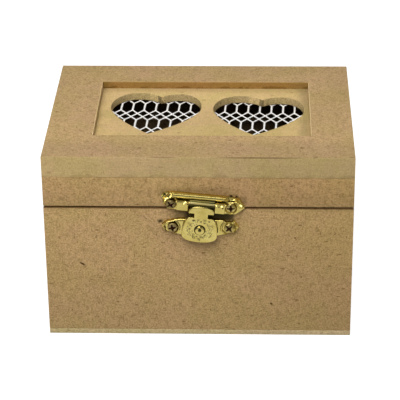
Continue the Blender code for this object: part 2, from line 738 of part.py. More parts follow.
def build_catch_plate(brass, screw_metal):
    """The plate on the body that the flap comes down over, with its screws."""
    step = CATCH_TOP - CATCH_STEP
    half = curve_points((0.0, CATCH_BOTTOM), (0.45 * CATCH_FOOT_HALF, CATCH_BOTTOM),
                        (0.8 * CATCH_FOOT_HALF, CATCH_FOOT - 0.3 * CATCH_STEP),
                        (CATCH_FOOT_HALF, CATCH_FOOT), 2 * CORNER_STEPS)
    half += [(CATCH_FOOT_HALF, CATCH_FOOT), (CATCH_HALF_LENGTH, CATCH_TIP), (CATCH_SHOULDER_HALF, step),
             (CATCH_TOP_HALF + CATCH_STEP, step), (CATCH_TOP_HALF, CATCH_TOP)]
    hole_radius = LATCH_SHANK_RADIUS + SCREW_PLAY
    holes = [circle(hole_radius, (side * CATCH_SCREW_U, CATCH_SCREW_V)) for side in (-1, 1)]
    rotation = (ON_FRONT[0], CATCH_TILT, 0.0)
    location = (CATCH_X, -HALF_DEPTH, CATCH_Z)
    mesh = prism("latch_catch_plate", mirrored(half), PLATE_GAP, PLATE_FACE, holes)
    plate = add_piece("latch_catch_plate", mesh, brass, location, rotation, smooth=True)
    button = turned_piece("button", [(CATCH_BUTTON_RADIUS, PLATE_GAP + LATCH_PLATE_THICKNESS / 2),
                                     (CATCH_BUTTON_RADIUS, PLATE_FACE + CATCH_BUTTON_HEIGHT / 2),
                                     (0.7 * CATCH_BUTTON_RADIUS, PLATE_FACE + CATCH_BUTTON_HEIGHT)])
    combine(plate, button, "UNION", "button")

    seat = PLATE_FACE + PLATE_GAP
    screw = screw_mesh("catch_screw", LATCH_HEAD_RADIUS, LATCH_HEAD_HEIGHT, LATCH_SHANK_RADIUS, seat,
                       ROUND_SIDES)
    for name, side in (("catch_screw_left", -1), ("catch_screw_right", 1)):
        x, z = on_face(side * CATCH_SCREW_U, CATCH_SCREW_V, CATCH_X, CATCH_Z, CATCH_TILT)
        add_piece(name, screw.copy(), screw_metal, (x, -HALF_DEPTH - seat, z), rotation, smooth=True)


def hinge_screw_places(up):
    """World x and z of the hinge screws above (up = 1) or below (up = -1) the axis."""
    z = SEAM_HEIGHT + up * HINGE_SCREW_DROP
    return [(sign * HINGE_X + side * HINGE_SCREW_SPACING / 2, z) for sign in (-1, 1) for side in (-1, 1)]


def hinge_bores(up):
    """The pilot holes behind one row of hinge leaves."""
    bite = WALL - SCREW_COVER + GLUE_GAP
    return [(x, z, HINGE_SHANK_RADIUS + SCREW_PLAY, bite, 0.0) for x, z in hinge_screw_places(up)]


def leaf_outline(outer_knuckles):
    """A hinge leaf, v running away from the axis, with tabs that reach its knuckles."""
    half = HINGE_WIDTH / 2
    tab = HINGE_BARREL_RADIUS / 2
    clear = HINGE_BARREL_RADIUS + SIDE_PLAY
    middle = HINGE_MIDDLE_KNUCKLE / 2
    split = middle + SIDE_PLAY if outer_knuckles else middle
    near, far = (tab, clear) if outer_knuckles else (clear, tab)
    corner = rounded([(-half, 0), (half, 0), (half, HINGE_LEAF_HEIGHT), (-half, HINGE_LEAF_HEIGHT)],
                     HINGE_CORNER_RADIUS)
    lower = [point for point in corner if point[1] > HINGE_LEAF_HEIGHT / 2]
    return [(-half, near), (-split, near), (-split, far), (split, far), (split, near),
            (half, near), *lower]


def build_hinge(side, sign, brass, screw_metal, pivot):
    """One hinge: a leaf on the body, a leaf on the lid, and the pin that joins them."""
    location = (sign * HINGE_X, HALF_DEPTH, SEAM_HEIGHT)
    half = HINGE_WIDTH / 2
    middle = HINGE_MIDDLE_KNUCKLE / 2
    slack = SIDE_PLAY / 10
    leaves = (("body", ON_BACK_HANGING, None, [(-half + slack, -middle - SIDE_PLAY - slack),
                                               (middle + SIDE_PLAY + slack, half - slack)]),
              ("lid", ON_BACK_STANDING, pivot, [(-middle + slack, middle - slack)]))
    holes = [circle(HINGE_SHANK_RADIUS + SCREW_PLAY, (s * HINGE_SCREW_SPACING / 2, HINGE_SCREW_DROP),
                    SMALL_ROUND_SIDES) for s in (-1, 1)]
    seat = HINGE_LEAF_FACE + PLATE_GAP
    screw = screw_mesh("hinge_screw", HINGE_HEAD_RADIUS, HINGE_HEAD_HEIGHT, HINGE_SHANK_RADIUS, seat,
                       SMALL_ROUND_SIDES)
    for owner, rotation, parent, knuckles in leaves:
        name = f"hinge_{side}_{owner}_leaf"
        mesh = prism(name, leaf_outline(owner == "body"), PLATE_GAP, HINGE_LEAF_FACE, holes)
        leaf = add_piece(name, mesh, brass, location, rotation, parent, smooth=True)
        for number, (start, end) in enumerate(knuckles):
            knuckle = tube_along_u(f"knuckle_{number}", start, end, HINGE_BARREL_RADIUS,
                                   HINGE_BORE_RADIUS, HINGE_STANDOFF,
                                   SMALL_ROUND_SIDES)
            combine(leaf, knuckle, "UNION", f"knuckle_{number}")
        up = 1 if owner == "lid" else -1
        places = [place for place in hinge_screw_places(up) if place[0] * sign > 0]
        for number, (x, z) in enumerate(places, start=1):
            place = (x, HALF_DEPTH + seat, z)
            add_piece(f"hinge_{side}_{owner}_screw_{number}", screw.copy(), screw_metal, place,
                      rotation, parent, smooth=True)
    end = half + HINGE_PIN_PROUD
    pin = along_u("pin", circle(HINGE_PIN_RADIUS, (0.0, HINGE_STANDOFF), SMALL_ROUND_SIDES), -end, end)
    add_piece(f"hinge_{side}_pin", pin, brass, location, ON_BACK_HANGING, smooth=True)


def main():
    """Build the whole box."""
    clear_scene()
    board = make_material("fibreboard", (0.46, 0.30, 0.15), 0.85)
    pale_board = make_material("pale fibreboard", (0.56, 0.38, 0.21), 0.85)
    panel_board = make_material("panel fibreboard", (0.60, 0.40, 0.19), 0.75)
    white = make_material("white lattice", (0.85, 0.84, 0.80), 0.5)
    brass = make_material("brass", (0.80, 0.66, 0.28), 0.25, 1.0)
    screw_metal = make_material("screw metal", (0.45, 0.36, 0.25), 0.35, 1.0)
    pivot = add_pivot("lid_pivot", (0, HINGE_AXIS_Y, SEAM_HEIGHT))
    build_body(board, pale_board)
    build_lid(board, panel_board, white, pivot)
    build_upper_plate(brass, screw_metal, pivot)
    build_flap(brass)
    build_catch_plate(brass, screw_metal)
    build_hinge("left", -1, brass, screw_metal, pivot)
    build_hinge("right", 1, brass, screw_metal, pivot)


main()
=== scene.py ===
"""The dressed scene of a small unfinished fibreboard box with a heart lid and a brass latch.

Shapes are drawn in millimetres and turned into metres when their mesh is made. The box's own
axes are +X to the right, -Y out of the front and +Z up.
"""
import math

import bmesh
import bpy
import numpy as np
from mathutils import Matrix, Vector, noise
from mathutils.geometry import delaunay_2d_cdt


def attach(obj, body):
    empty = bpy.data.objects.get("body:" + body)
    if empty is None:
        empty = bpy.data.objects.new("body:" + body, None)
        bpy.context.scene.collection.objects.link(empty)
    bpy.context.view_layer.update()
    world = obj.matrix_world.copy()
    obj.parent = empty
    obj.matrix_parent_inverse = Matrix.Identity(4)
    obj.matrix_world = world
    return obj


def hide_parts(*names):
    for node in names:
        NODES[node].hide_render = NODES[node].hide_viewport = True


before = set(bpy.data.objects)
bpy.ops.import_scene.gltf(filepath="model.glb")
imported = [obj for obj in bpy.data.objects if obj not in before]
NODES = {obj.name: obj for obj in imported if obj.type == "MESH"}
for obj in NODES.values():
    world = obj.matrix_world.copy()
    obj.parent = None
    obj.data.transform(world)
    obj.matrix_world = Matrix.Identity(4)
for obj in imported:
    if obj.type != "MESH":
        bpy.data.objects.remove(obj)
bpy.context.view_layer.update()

MM = 0.001

# The box: its boards, the seam between lid and body, and the glued joints
HALF_WIDTH = 55.0
HALF_DEPTH = 40.5
TOP = 72.0
SLAB_BOTTOM = 64.0
SEAM_HIGH = 52.7
SEAM_LOW = 51.92
BOARD = 6.0
FOOT = 2.0
GLUE = 0.02
SIDE_GAP = 0.03

# The axis and way that each side faces, and the body, lower end and upper end of its wall and its rim
SIDES = {"front": (1, -1), "back": (1, 1), "left": (0, -1), "right": (0, 1)}
PARTS = {"wall": ("body", FOOT + GLUE, SEAM_LOW), "rim": ("lid", SEAM_HIGH, SLAB_BOTTOM - GLUE)}

# Stray pilot holes beside the latch: (x, z, radius, depth)
PILOT_HOLES = {"wall_front": ((-13.5, 46.6, 0.6, 3.0),),
               "rim_front": ((11.6, 56.8, 0.6, 3.0), (13.6, 56.8, 0.4, 3.0))}

# The lid's window (left, front, right, back), the panel in it and the panel's hearts
WINDOW = (-38.2, -22.4, 39.9, 24.6)
PANEL_TOP = 69.5
PANEL_BOTTOM = 66.8
PANEL_PLAY = 0.05
HEARTS_LEFT = 3.9
HEARTS_RIGHT = 2.3
HEARTS_GAP = 4.5
HEARTS_TURN = math.radians(-4.5)

# The lattice: tall hexagons in staggered rows, with two diamonds between them
LATTICE_TOP = 66.5
LATTICE_BOTTOM = 66.2
LATTICE_PLAY = 0.3
LATTICE_BORDER = 1.2
PITCH = 4.34
UPRIGHT = 5.9
RISE = 2.9
BAR = 0.72
THINNER = 0.09
LATTICE_TURN = math.radians(-2.2)
LATTICE_SHIFT = (-1.0, 9.4)

# The latch's frames on the front face: (x, z, tilt), with u to the right, v up and w outwards
UPPER = (1.5, 54.7, math.radians(5.5))
CATCH = (0.7, 44.9, math.radians(1.2))
PLATE_BACK = 0.2
PLATE_FRONT = 1.0
PLATE_ROUND = 0.28
EAR_BACK = 0.55
AXIS_W = 1.8
KNUCKLE_RADIUS = 1.22
KNUCKLE_HALF = 4.45
KNUCKLE_SIDES = 40
FLAP_FRONT = 3.0
FLAP_THICKNESS = 0.62
KNOB_V = -9.845
SCREW_RADIUS = 1.75
UPPER_HOLES = ((-11.1, -0.6), (10.2, -0.65))
CATCH_HOLES = ((-10.2, -0.1), (10.2, -0.1))

# How far the rings of extra points lie from each edge of a modelled plate, and the turn in radians that
# spreads the flap's punched marks
EDGE_RINGS = (0.04, 0.1, 0.19, 0.3)
GOLDEN_ANGLE = 2.39996

# Ribs stamped in the upper plate: (line, half width, height)
UPPER_RIBS = (
    (((-11.2, 2.27), (6.6, 2.27)), 1.08, 1.1),
    (((6.6, 2.05), (8.2, 1.75), (9.3, 1.25), (10.4, 1.25), (11.5, 1.6), (12.3, 2.0)), 0.38, 0.8),
    (((6.6, 2.75), (8.2, 2.65), (9.4, 2.35), (10.5, 2.3), (11.6, 2.5), (12.4, 2.6)), 0.34, 0.75),
    (((-13.7, -0.6), (-13.0, 0.0), (-12.3, 0.8), (-11.7, 1.6), (-11.3, 2.4)), 1.0, 1.35),
    (((-14.3, 1.3), (-13.9, 0.4), (-13.4, 0.0)), 0.38, 0.5),
    (((-10.6, 2.95), (6.6, 2.95), (8.2, 2.95)), 0.22, 1.05),
)

# Small planed patches that catch the light: (line, radius, level)
UPPER_FACETS = (
    (((-13.3, 0.4), (-12.3, 1.1)), 0.52, 1.9),
    (((-11.5, 1.7), (-11.1, 2.9)), 0.4, 1.9),
    (((12.1, 2.35), (12.6, 1.85)), 0.3, 1.35),
    (((13.1, 0.75), (14.2, -0.15)), 0.42, 1.3),
)
CATCH_FACETS = (
    (((-13.45, 0.9), (-12.8, 1.75)), 0.26, 1.35),
    (((-12.4, 2.15), (-11.9, 2.4)), 0.26, 1.35),
    (((-9.3, 3.0), (-8.5, 3.25)), 0.24, 1.35),
    (((11.75, 2.85), (12.15, 2.2)), 0.24, 1.3),
    (((12.6, 1.75), (13.4, 0.8)), 0.24, 1.2),
)

# The photo's camera and the floor under the box, in metres and radians
CAMERA_PLACE = (0.02151, -0.61632, 0.35329)
CAMERA_LENS = 165.5
YAW, PITCH_DOWN, ROLL = -0.03617, 0.47724, 0.01102
FLOOR_HALF = 8.0
FLOOR_HEIGHT = -0.0002


def connect(tree, node, inputs):
    """Give a shader node's inputs their numbers, colours or other nodes' outputs."""
    for name, item in inputs.items():
        socket = node.inputs[name]
        if isinstance(item, bpy.types.NodeSocket):
            tree.links.new(item, socket)
        elif item is not None:
            socket.default_value = (*item, 1.0) if socket.type == "RGBA" else item


def add_node(tree, kind, inputs, **settings):
    """A new shader node with its settings and inputs."""
    node = tree.nodes.new(kind)
    for name, value in settings.items():
        setattr(node, name, value)
    connect(tree, node, inputs)
    return node


def new_material(name):
    """A new material with its node tree and its shader."""
    material = bpy.data.materials.new(name)
    material.use_nodes = True
    return material, material.node_tree, material.node_tree.nodes["Principled BSDF"]


class Graph:
    """Short ways to add shader nodes to one new material."""

    def __init__(self, name):
        self.material, self.tree, self.shader = new_material(name)
        self.coords = self.add("ShaderNodeTexCoord", "Object", {})

    def add(self, kind, output, inputs, **settings):
        """One output of a new node."""
        return add_node(self.tree, kind, inputs, **settings).outputs[output]

    def place(self, scale, turn=(0, 0, 0), shift=(0, 0, 0)):
        """Coordinates stretched by a scale for each axis."""
        return self.add("ShaderNodeMapping", "Vector",
                        {"Vector": self.coords, "Location": shift, "Rotation": turn, "Scale": scale})

    def noise(self, vector, scale, detail=3.0, rough=0.55, distortion=0.0):
        """A noise value from 0 to 1."""
        return self.add("ShaderNodeTexNoise", "Fac", {
            "Vector": vector, "Scale": scale, "Detail": detail, "Roughness": rough, "Distortion": distortion})

    def cells(self, vector, scale, output):
        """Scattered cells: the Distance to each one's middle, or its Color."""
        return self.add("ShaderNodeTexVoronoi", output, {"Vector": vector, "Scale": scale})

    def ramp(self, value, low, high, start=0.0, end=1.0):
        """The value taken smoothly from one range to another, held at both ends."""
        return self.add("ShaderNodeMapRange", "Result", {
            "Value": value, "From Min": low, "From Max": high, "To Min": start, "To Max": end},
            interpolation_type="SMOOTHSTEP")

    def math(self, operation, first, second=0.5):
        """Arithmetic on values, each a number or an output."""
        return self.add("ShaderNodeMath", "Value", {0: first, 1: second}, operation=operation)

    def mix(self, factor, first, second, blend="MIX"):
        """Colours mixed by a factor, each a triple or an output."""
        return self.add("ShaderNodeMix", 2, {0: factor, 6: first, 7: second},
                        data_type="RGBA", blend_type=blend)

    def part(self, vector, index):
        """One axis of a vector or channel of a colour."""
        return self.add("ShaderNodeSeparateXYZ", index, {0: vector})

    def spot(self, middle, halves, turn):
        """The distance from an ellipsoid's middle, 1 on its surface, from millimetres and degrees about Y."""
        local = self.add("ShaderNodeMapping", "Vector", {
            "Vector": self.coords, "Location": [k * MM for k in middle], "Scale": [k * MM for k in halves],
            "Rotation": (0.0, math.radians(turn), 0.0)}, vector_type="TEXTURE")
        return self.add("ShaderNodeVectorMath", "Value", {0: local}, operation="LENGTH")

    def patch(self, x, z, half_x, half_z, soft, strength, rough):
        """A soft-edged patch on the front face, from 0 outside to its strength."""
        squares = []
        for axis, middle, half in ((0, x, half_x), (2, z, half_z)):
            away = self.math("ABSOLUTE", self.math("SUBTRACT", self.part(self.coords, axis), middle * MM))
            beyond = self.math("MAXIMUM", self.math("SUBTRACT", away, half * MM), 0.0)
            squares.append(self.math("POWER", beyond, 2.0))
        reach = self.math("SQRT", self.math("ADD", *squares))
        reach = self.math("ADD", reach, self.math("MULTIPLY", rough, 0.5 * soft * MM))
        share = self.ramp(reach, 1.3 * soft * MM, 0.15 * soft * MM, 0.0, strength)
        depth = self.part(self.coords, 1)
        front = self.ramp(depth, (0.3 - HALF_DEPTH) * MM, (0.7 - HALF_DEPTH) * MM, 1.0, 0.0)
        return self.math("MULTIPLY", share, front)

    def bump(self, height, strength, distance, under=None):
        """A bump from a height, on top of another bump."""
        return self.add("ShaderNodeBump", "Normal", {
            "Height": height, "Strength": strength, "Distance": distance, "Normal": under})

    def finish(self, colour, roughness, normal=None, metallic=0.0, specular=0.5):
        """Join the results to the shader."""
        connect(self.tree, self.shader, {"Base Color": colour, "Roughness": roughness, "Normal": normal,
                                         "Metallic": metallic, "Specular IOR Level": specular})
        return self.material


def shade(colour, *factors):
    """A colour multiplied by one factor, or by one for each channel."""
    return tuple(channel * factor for channel, factor in zip(colour, factors * (3 // len(factors))))


def fibreboard(name, colour, streak=0.0, speckle=1.0, blotch=1.0, seed=0.0, stains_and_shade=(),
               flecks=(), marks=(), tints=()):
    """Raw fibreboard: felted fibres in every direction, soft patches and a few dark chips.

    streak adds fine lines along X, as on a sawn edge. Each dark patch on the front face is stained wood in
    some
    places and painted shade in others: (x, z, half width, half height, softness, strength) in millimetres.
    Each
    fleck is a dark fibre there: (x, z, half length, half width, turn, strength). Each mark is a dark spot
    anywhere, a real mark in some places and painted shade in others: (middle, halves, strength). Each tint
    multiplies the colour along an axis, in some places as painted light or shade: (axis, from, to, factors).
    """
    g = Graph(name)
    shift = (seed, 0.37 * seed, 0.71 * seed)
    base = g.place((1, 1, 1), shift=shift)
    large = g.noise(base, 60, 3, 0.6)
    medium = g.noise(base, 150, 3, 0.6, 0.4)
    fine = g.noise(base, 1750, 3, 0.75)
    first, second, third = [g.noise(g.place(stretch, turn, shift), 620, 2, 0.6, 0.6) for turn, stretch in (
        ((0.3, 0.5, 0.2), (1, 4, 1)), ((1.2, 0.2, 1.1), (4, 1, 1)), ((0.4, 1.3, 2.1), (1, 1, 4)))]
    fibres = g.math("DIVIDE", g.math("ADD", g.math("ADD", first, second), third), 3.0)

    pink = shade(colour, 1.055, 1.0, 1.11)
    olive = shade(colour, 0.95, 0.985, 0.85)
    tone = g.mix(g.ramp(large, 0.35, 0.65, 0.0, blotch), pink, olive)
    layers = [
        (medium, 0.4, 0.62, 0.5 * blotch, (1.1,)),
        (fibres, 0.47, 0.6, 0.95 * speckle, (0.68, 0.65, 0.54)),
        (fine, 0.5, 0.62, 0.62 * speckle, (1.42,)),
        (fine, 0.47, 0.36, 0.8 * speckle, (0.54, 0.5, 0.4)),
    ]
    if streak:
        lines = g.noise(g.place((0.6, 10, 10), shift=shift), 190, 4, 0.7)
        layers.append((lines, 0.42, 0.62, streak, (0.88,)))
    for value, low, high, strength, factors in layers:
        tone = g.mix(g.ramp(value, low, high, 0.0, strength), tone, shade(colour, *factors))
    for turn, stretch, scale in (((0.5, 0.9, 0.3), (1, 1, 2.6), 250), ((0.2, 2.1, 0.7), (3, 1, 1), 330)):
        where = g.place(stretch, turn, shift)
        chosen = g.ramp(g.part(g.cells(where, scale, "Color"), 0), 0.84, 0.9)
        chip = g.ramp(g.cells(where, scale, "Distance"), 0.12, 0.26, 0.7 * speckle, 0.0)
        tone = g.mix(g.math("MULTIPLY", chip, chosen), tone, shade(colour, 0.35, 0.25, 0.18))

    for axis, low, high, factors in tints:
        where = g.math("ADD", g.part(g.coords, axis), g.ramp(medium, 0.3, 0.7, -0.0008, 0.0008))
        tone = g.mix(g.ramp(where, low * MM, high * MM), tone, g.mix(1.0, tone, factors, "MULTIPLY"))
    spots = [((x, -HALF_DEPTH, z), (half_x, 1000, half_z), turn, strength)
             for x, z, half_x, half_z, turn, strength in flecks]
    spots += [(middle, halves, 0, strength) for middle, halves, strength in marks]
    for middle, halves, turn, strength in spots:
        share = g.ramp(g.spot(middle, halves, turn), 0.55, 1.25, strength, 0.0)
        tone = g.mix(share, tone, shade(colour, 0.16, 0.1, 0.05))
    # Dark patches on the front face: stained wood round pilot holes, and painted shade between and under the
    # latch's parts
    for dark_patch in stains_and_shade:
        tone = g.mix(g.patch(*dark_patch, medium), tone, shade(colour, 0.1, 0.11, 0.07))
    height = g.math("ADD", g.math("MULTIPLY", fibres, 0.8), g.math("MULTIPLY", fine, 0.35))
    rough = g.ramp(medium, 0.3, 0.7, 0.78, 0.92)
    return g.finish(tone, rough, g.bump(height, 0.35, 0.00012), specular=0.25)


def brass(name, colour, low=0.15, high=0.28, metallic=1.0):
    """Plated brass, a little uneven, with fine scratches."""
    g = Graph(name)
    cloud = g.noise(g.coords, 260, 4, 0.6)
    fine = g.noise(g.coords, 1900, 3, 0.6)
    hair = g.noise(g.place((1, 1, 9), (0.2, 0.4, 0.1)), 900, 2, 0.5)
    tone = g.mix(g.ramp(cloud, 0.35, 0.65), colour, shade(colour, 0.9, 0.86, 0.72))
    rough = g.math("ADD", g.ramp(cloud, 0.3, 0.7, low, high), g.ramp(hair, 0.5, 0.75, 0.0, 0.06))
    normal = g.bump(fine, 0.1, 0.00006, g.bump(cloud, 0.1, 0.0004))
    return g.finish(tone, rough, normal, metallic=metallic)


def plain(name, scale, first, second, low, high, specular, strength):
    """A matte or satin surface between two colours, its roughness from low to high, faintly uneven."""
    g = Graph(name)
    cloud = g.noise(g.coords, scale)
    share = g.ramp(cloud, 0.3, 0.7)
    rough = g.ramp(cloud, 0.3, 0.7, low, high)
    return g.finish(g.mix(share, first, second), rough, g.bump(cloud, strength, 0.0001), specular=specular)


def band(low, high, factor):
    """Two tints that together change the tone only between two places along X, painting light where the
    factor is above 1 and shade where it is below.
    """
    return (0, low - 0.15, low + 0.15, (factor,) * 3), (0, high - 0.15, high + 0.15, (1 / factor,) * 3)


FACE = fibreboard("fibreboard face", (0.47, 0.312, 0.14))
# Its tints paint shade darker towards the right and in a band just below the seam, and its mark paints the
# seam's shade along the wall's top edge.
# Painted shade in the body front's first, second, third and last dark patches, between the latch's plates and
# under the flap; the fourth is stained wood round a pilot hole.
BODY_FRONT = fibreboard(
    "body front", (0.466, 0.312, 0.139), speckle=0.9,
    stains_and_shade=((3.3, 49.6, 7.0, 1.35, 1.6, 0.94), (1.6, 49.6, 9.2, 1.0, 1.9, 0.45),
            (10.2, 48.5, 1.7, 0.8, 1.4, 0.8), (-13.5, 46.9, 0.7, 0.3, 0.7, 0.6),
            (0.7, 39.4, 6.0, 0.3, 1.6, 0.12)),
    flecks=((-41.9, 29.25, 1.25, 0.38, 35, 1.0), (-29.6, 13.6, 0.7, 0.28, 20, 0.7),
            (26.1, 13.1, 0.6, 0.4, 30, 0.9), (34.4, 40.3, 0.45, 0.4, 0, 0.7), (4.1, 10.4, 0.5, 0.3, 60, 0.6),
            (-18.9, 48.2, 1.2, 0.2, 45, 0.55), (-36.6, 40.2, 0.5, 0.35, 70, 0.5),
            (-35.0, 27.0, 0.7, 0.2, 80, 0.5), (33.0, 26.4, 0.5, 0.3, 20, 0.5),
            (-47.5, 28.5, 0.9, 0.15, 45, 0.45), (9.9, 2.9, 0.8, 0.25, 5, 0.5)),
    tints=((0, 5, 50, (0.92, 0.91, 0.89)), (2, 50.9, 51.7, (0.86, 0.85, 0.83))),
    marks=(((0.0, -40.5, 51.95), (200.0, 0.9, 0.22), 0.7),))
# The rim front's first two dark patches are stained wood round the pilot holes; the third darkens a band
# along the upper plate's top edge and the fourth a patch beside its right end. Its tint paints shade darker
# towards the right.
RIM_FRONT = fibreboard(
    "rim front", (0.456, 0.299, 0.13), speckle=0.8, seed=0.07,
    stains_and_shade=((11.6, 56.8, 0.5, 0.3, 0.6, 0.6), (13.7, 56.8, 0.2, 0.2, 0.6, 0.5),
            (-1.0, 58.6, 12.0, 0.5, 2.2, 0.24), (16.2, 55.4, 0.3, 0.8, 1.3, 0.35)),
    flecks=((-39.9, 61.9, 0.35, 0.3, 0, 0.6), (40.5, 60.9, 0.8, 0.12, 10, 0.6)),
    tints=((0, -16, 6, (0.9, 0.88, 0.86)),))
# Painted shade of a crease along the slab's front top arris, on its top face and its sawn edge
CREASE_SHADE = (((21.7, -40.4, 71.9), (16.0, 0.3, 0.26), 0.66), ((-12.5, -40.4, 71.9), (5.5, 0.3, 0.22), 0.42))
SLAB_FACE = fibreboard(
    "fibreboard top", (0.452, 0.31, 0.148), speckle=0.72, seed=0.13,
    marks=(((36.4, -32.5, 72.0), (0.75, 0.6, 1.0), 0.6), ((-38.4, -33.3, 72.0), (0.55, 0.5, 1.0), 0.55),
           *CREASE_SHADE),
    tints=((1, -24, -33, (0.86, 0.86, 0.885)),))
# The sawn edge's first tint paints shade darker towards the right; its second darkens it towards its lower
# edge
EDGE = fibreboard(
    "sawn edge", (0.515, 0.37, 0.172), streak=0.45, speckle=0.5, blotch=1.1, seed=0.29, marks=CREASE_SHADE,
    tints=((0, -50, 45, (0.84, 0.855, 0.84)), (2, 64.9, 64.2, (0.88, 0.86, 0.84))))
PALE = fibreboard("pale board", (0.505, 0.398, 0.205), speckle=0.6, seed=0.41)
# Painted shade: the panel's tints darken it near the window's right, left and back walls
PANEL = fibreboard(
    "panel face", (0.575, 0.415, 0.184), speckle=0.4, blotch=1.2, seed=0.53,
    tints=((0, 34.0, 39.0, (0.62, 0.63, 0.63)), (0, -34.0, -38.0, (0.8, 0.8, 0.82)),
           (1, 19.0, 24.0, (0.82, 0.8, 0.8))))
# Painted light and shade: the heart walls' tints lighten and darken bands across the facets at each heart's
# notch
CUT = fibreboard(
    "cut edge", (0.462, 0.342, 0.158), streak=0.6, seed=0.61,
    tints=(*band(-19.2, -16.1, 1.28), *band(-16.1, -14.7, 0.55), *band(-14.6, -13.9, 1.3),
           *band(18.0, 21.7, 1.35), *band(21.7, 22.7, 0.6), *band(22.9, 23.5, 1.25)))
# Painted shade: the window edge's tints darken it where it meets the panel and towards both ends
WINDOW_CUT = fibreboard(
    "window edge", (0.345, 0.192, 0.052), streak=0.6, speckle=0.5, seed=0.67,
    tints=((2, 70.0, 69.5, (0.7, 0.64, 0.5)), (0, -33.5, -38.0, (0.62, 0.66, 0.55)),
           (0, 30.0, 39.0, (0.86, 0.9, 1.0))))
# Painted light: a much lighter copy of the window's cut edge for its left, front and right walls
WINDOW_SIDE_LIT = fibreboard("window side", (0.8, 0.62, 0.33), streak=0.3, speckle=0.5, seed=0.71)
# Painted shade: the boards' inside faces are darkened to stand for the shade inside the closed box
INSIDE_SHADE = fibreboard("inside face", (0.15, 0.098, 0.048), speckle=0.8, seed=0.83)
BRASS = brass("bright brass", (0.78, 0.645, 0.212))
FLAP_BRASS = brass("flap brass", (0.845, 0.705, 0.24))
SCREW = brass("screw bronze", (0.54, 0.43, 0.2), 0.42, 0.58)
SCREW_DARK = brass("dark screw bronze", (0.37, 0.285, 0.12), 0.42, 0.58)
SCREW_BRIGHT = brass("bright screw bronze", (0.64, 0.52, 0.2), 0.3, 0.45)
# Painted shade: near black in the screws' cross recesses
RECESS_SHADE = plain("screw recess", 900, (0.022, 0.005, 0.002), (0.04, 0.014, 0.005), 0.8, 0.8, 0.1, 0.0)
# Painted shade and dark reflections on the brass: below ribs, in the curl, round screw seats, along the
# flap's edges, in deep dents, on the knob's flange and dimple and on the knuckle's dark side
PAINTED_SHADE_BRASS = brass("dark brass", (0.075, 0.065, 0.018), 0.3, 0.45)
# Dull brass: real dullness in the flap's punched pits, and painted mid-tone reflections in two bands of the
# knuckle
DULL_PITS_AND_PAINTED_SHEEN = brass("dull brass", (0.3, 0.26, 0.085), 0.22, 0.36, 0.4)
# A painted highlight: a pale, half-metallic brass for the bright band on the knuckle
PAINTED_HIGHLIGHT_BRASS = brass("painted highlight brass", (0.52, 0.43, 0.17), 0.3, 0.4, 0.3)
WHITE = plain("white lattice", 120, (0.86, 0.84, 0.81), (0.8, 0.78, 0.74), 0.42, 0.55, 0.5, 0.05)

# The upright boards in the order that they are made: (part, side, softness of the edges, material)
BOARDS = (
    ("wall", "front", 0.05, BODY_FRONT), ("wall", "back", 0.15, FACE),
    ("rim", "front", 0.1, RIM_FRONT), ("rim", "back", 0.12, FACE),
    ("wall", "left", 0.12, FACE), ("rim", "left", 0.12, FACE),
    ("wall", "right", 0.12, FACE), ("rim", "right", 0.12, FACE),
)

# The latch's screws: (piece, node, body, frame, place, seat, lean and turn in degrees, finish)
SCREWS = (
    ("catch_screw_l", "catch_screw_left", "body", CATCH, (-9.9, -0.1), 1.2, 0, 12, SCREW),
    ("catch_screw_r", "catch_screw_right", "body", CATCH, CATCH_HOLES[1], 0.9, 0, 42, SCREW_BRIGHT),
    ("upper_screw_l", "latch_screw_left", "lid", UPPER, UPPER_HOLES[0], 2.0, 12, 38, SCREW_DARK),
    ("upper_screw_r", "latch_screw_right", "lid", UPPER, UPPER_HOLES[1], 1.3, 6, 6, SCREW_BRIGHT),
)


def add_object(name, data):
    """A new object in the scene."""
    made = bpy.data.objects.new(name, data)
    bpy.context.scene.collection.objects.link(made)
    return made


def add_mesh(name, bm, matrix=None):
    """A new object in metres from a bmesh in millimetres."""
    bmesh.ops.recalc_face_normals(bm, faces=bm.faces)
    mesh = bpy.data.meshes.new(name)
    bm.to_mesh(mesh)
    bm.free()
    if matrix is not None:
        mesh.transform(matrix)
    mesh.transform(Matrix.Scale(MM, 4))
    return add_object(name, mesh)


def smooth(mesh, angle):
    """Shade a mesh smooth but for its edges over an angle in degrees."""
    mesh.shade_smooth()
    mesh.set_sharp_from_angle(angle=math.radians(angle))


def make_piece(name, bm, materials, body, node, slot="brass", angle=50.0, matrix=None):
    """Turn a bmesh in millimetres into a named piece that rides on a body."""
    piece = add_mesh(name, bm, matrix)
    for material in materials:
        piece.data.materials.append(material)
    smooth(piece.data, angle)
    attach(piece, body)
    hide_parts(node)
    return piece


def on_front(place):
    """The matrix from a front plate's (u, v, w) to the box's axes, in millimetres."""
    x, z, tilt = place
    cosine = math.cos(tilt)
    sine = math.sin(tilt)
    return Matrix(((cosine, sine, 0, x), (0, 0, -1, -HALF_DEPTH), (-sine, cosine, 0, z), (0, 0, 0, 1)))


def board(name, low, high, material, inner, body, soft, node, slot="fibreboard"):
    """A sawn board between two corners with softened edges, bored where it has pilot holes.

    inner is the (axis, sign) along which its inside face looks; that face is painted dark as shade.
    """
    bm = bmesh.new()
    bmesh.ops.create_cube(bm, size=1.0)
    bmesh.ops.scale(bm, vec=[high[k] - low[k] for k in range(3)], verts=bm.verts)
    bmesh.ops.translate(bm, vec=[(high[k] + low[k]) / 2 for k in range(3)], verts=bm.verts)
    bmesh.ops.bevel(bm, geom=bm.edges[:], offset=soft, segments=3, profile=0.5, affect="EDGES")
    axis, sign = inner
    for face in bm.faces:
        face.normal_update()
        face.material_index = int(face.normal[axis] * sign > 0.9)
    piece = make_piece(name, bm, [material, INSIDE_SHADE], body, node, slot, 35)
    if name in PILOT_HOLES:
        bore(piece, low[1], PILOT_HOLES[name])


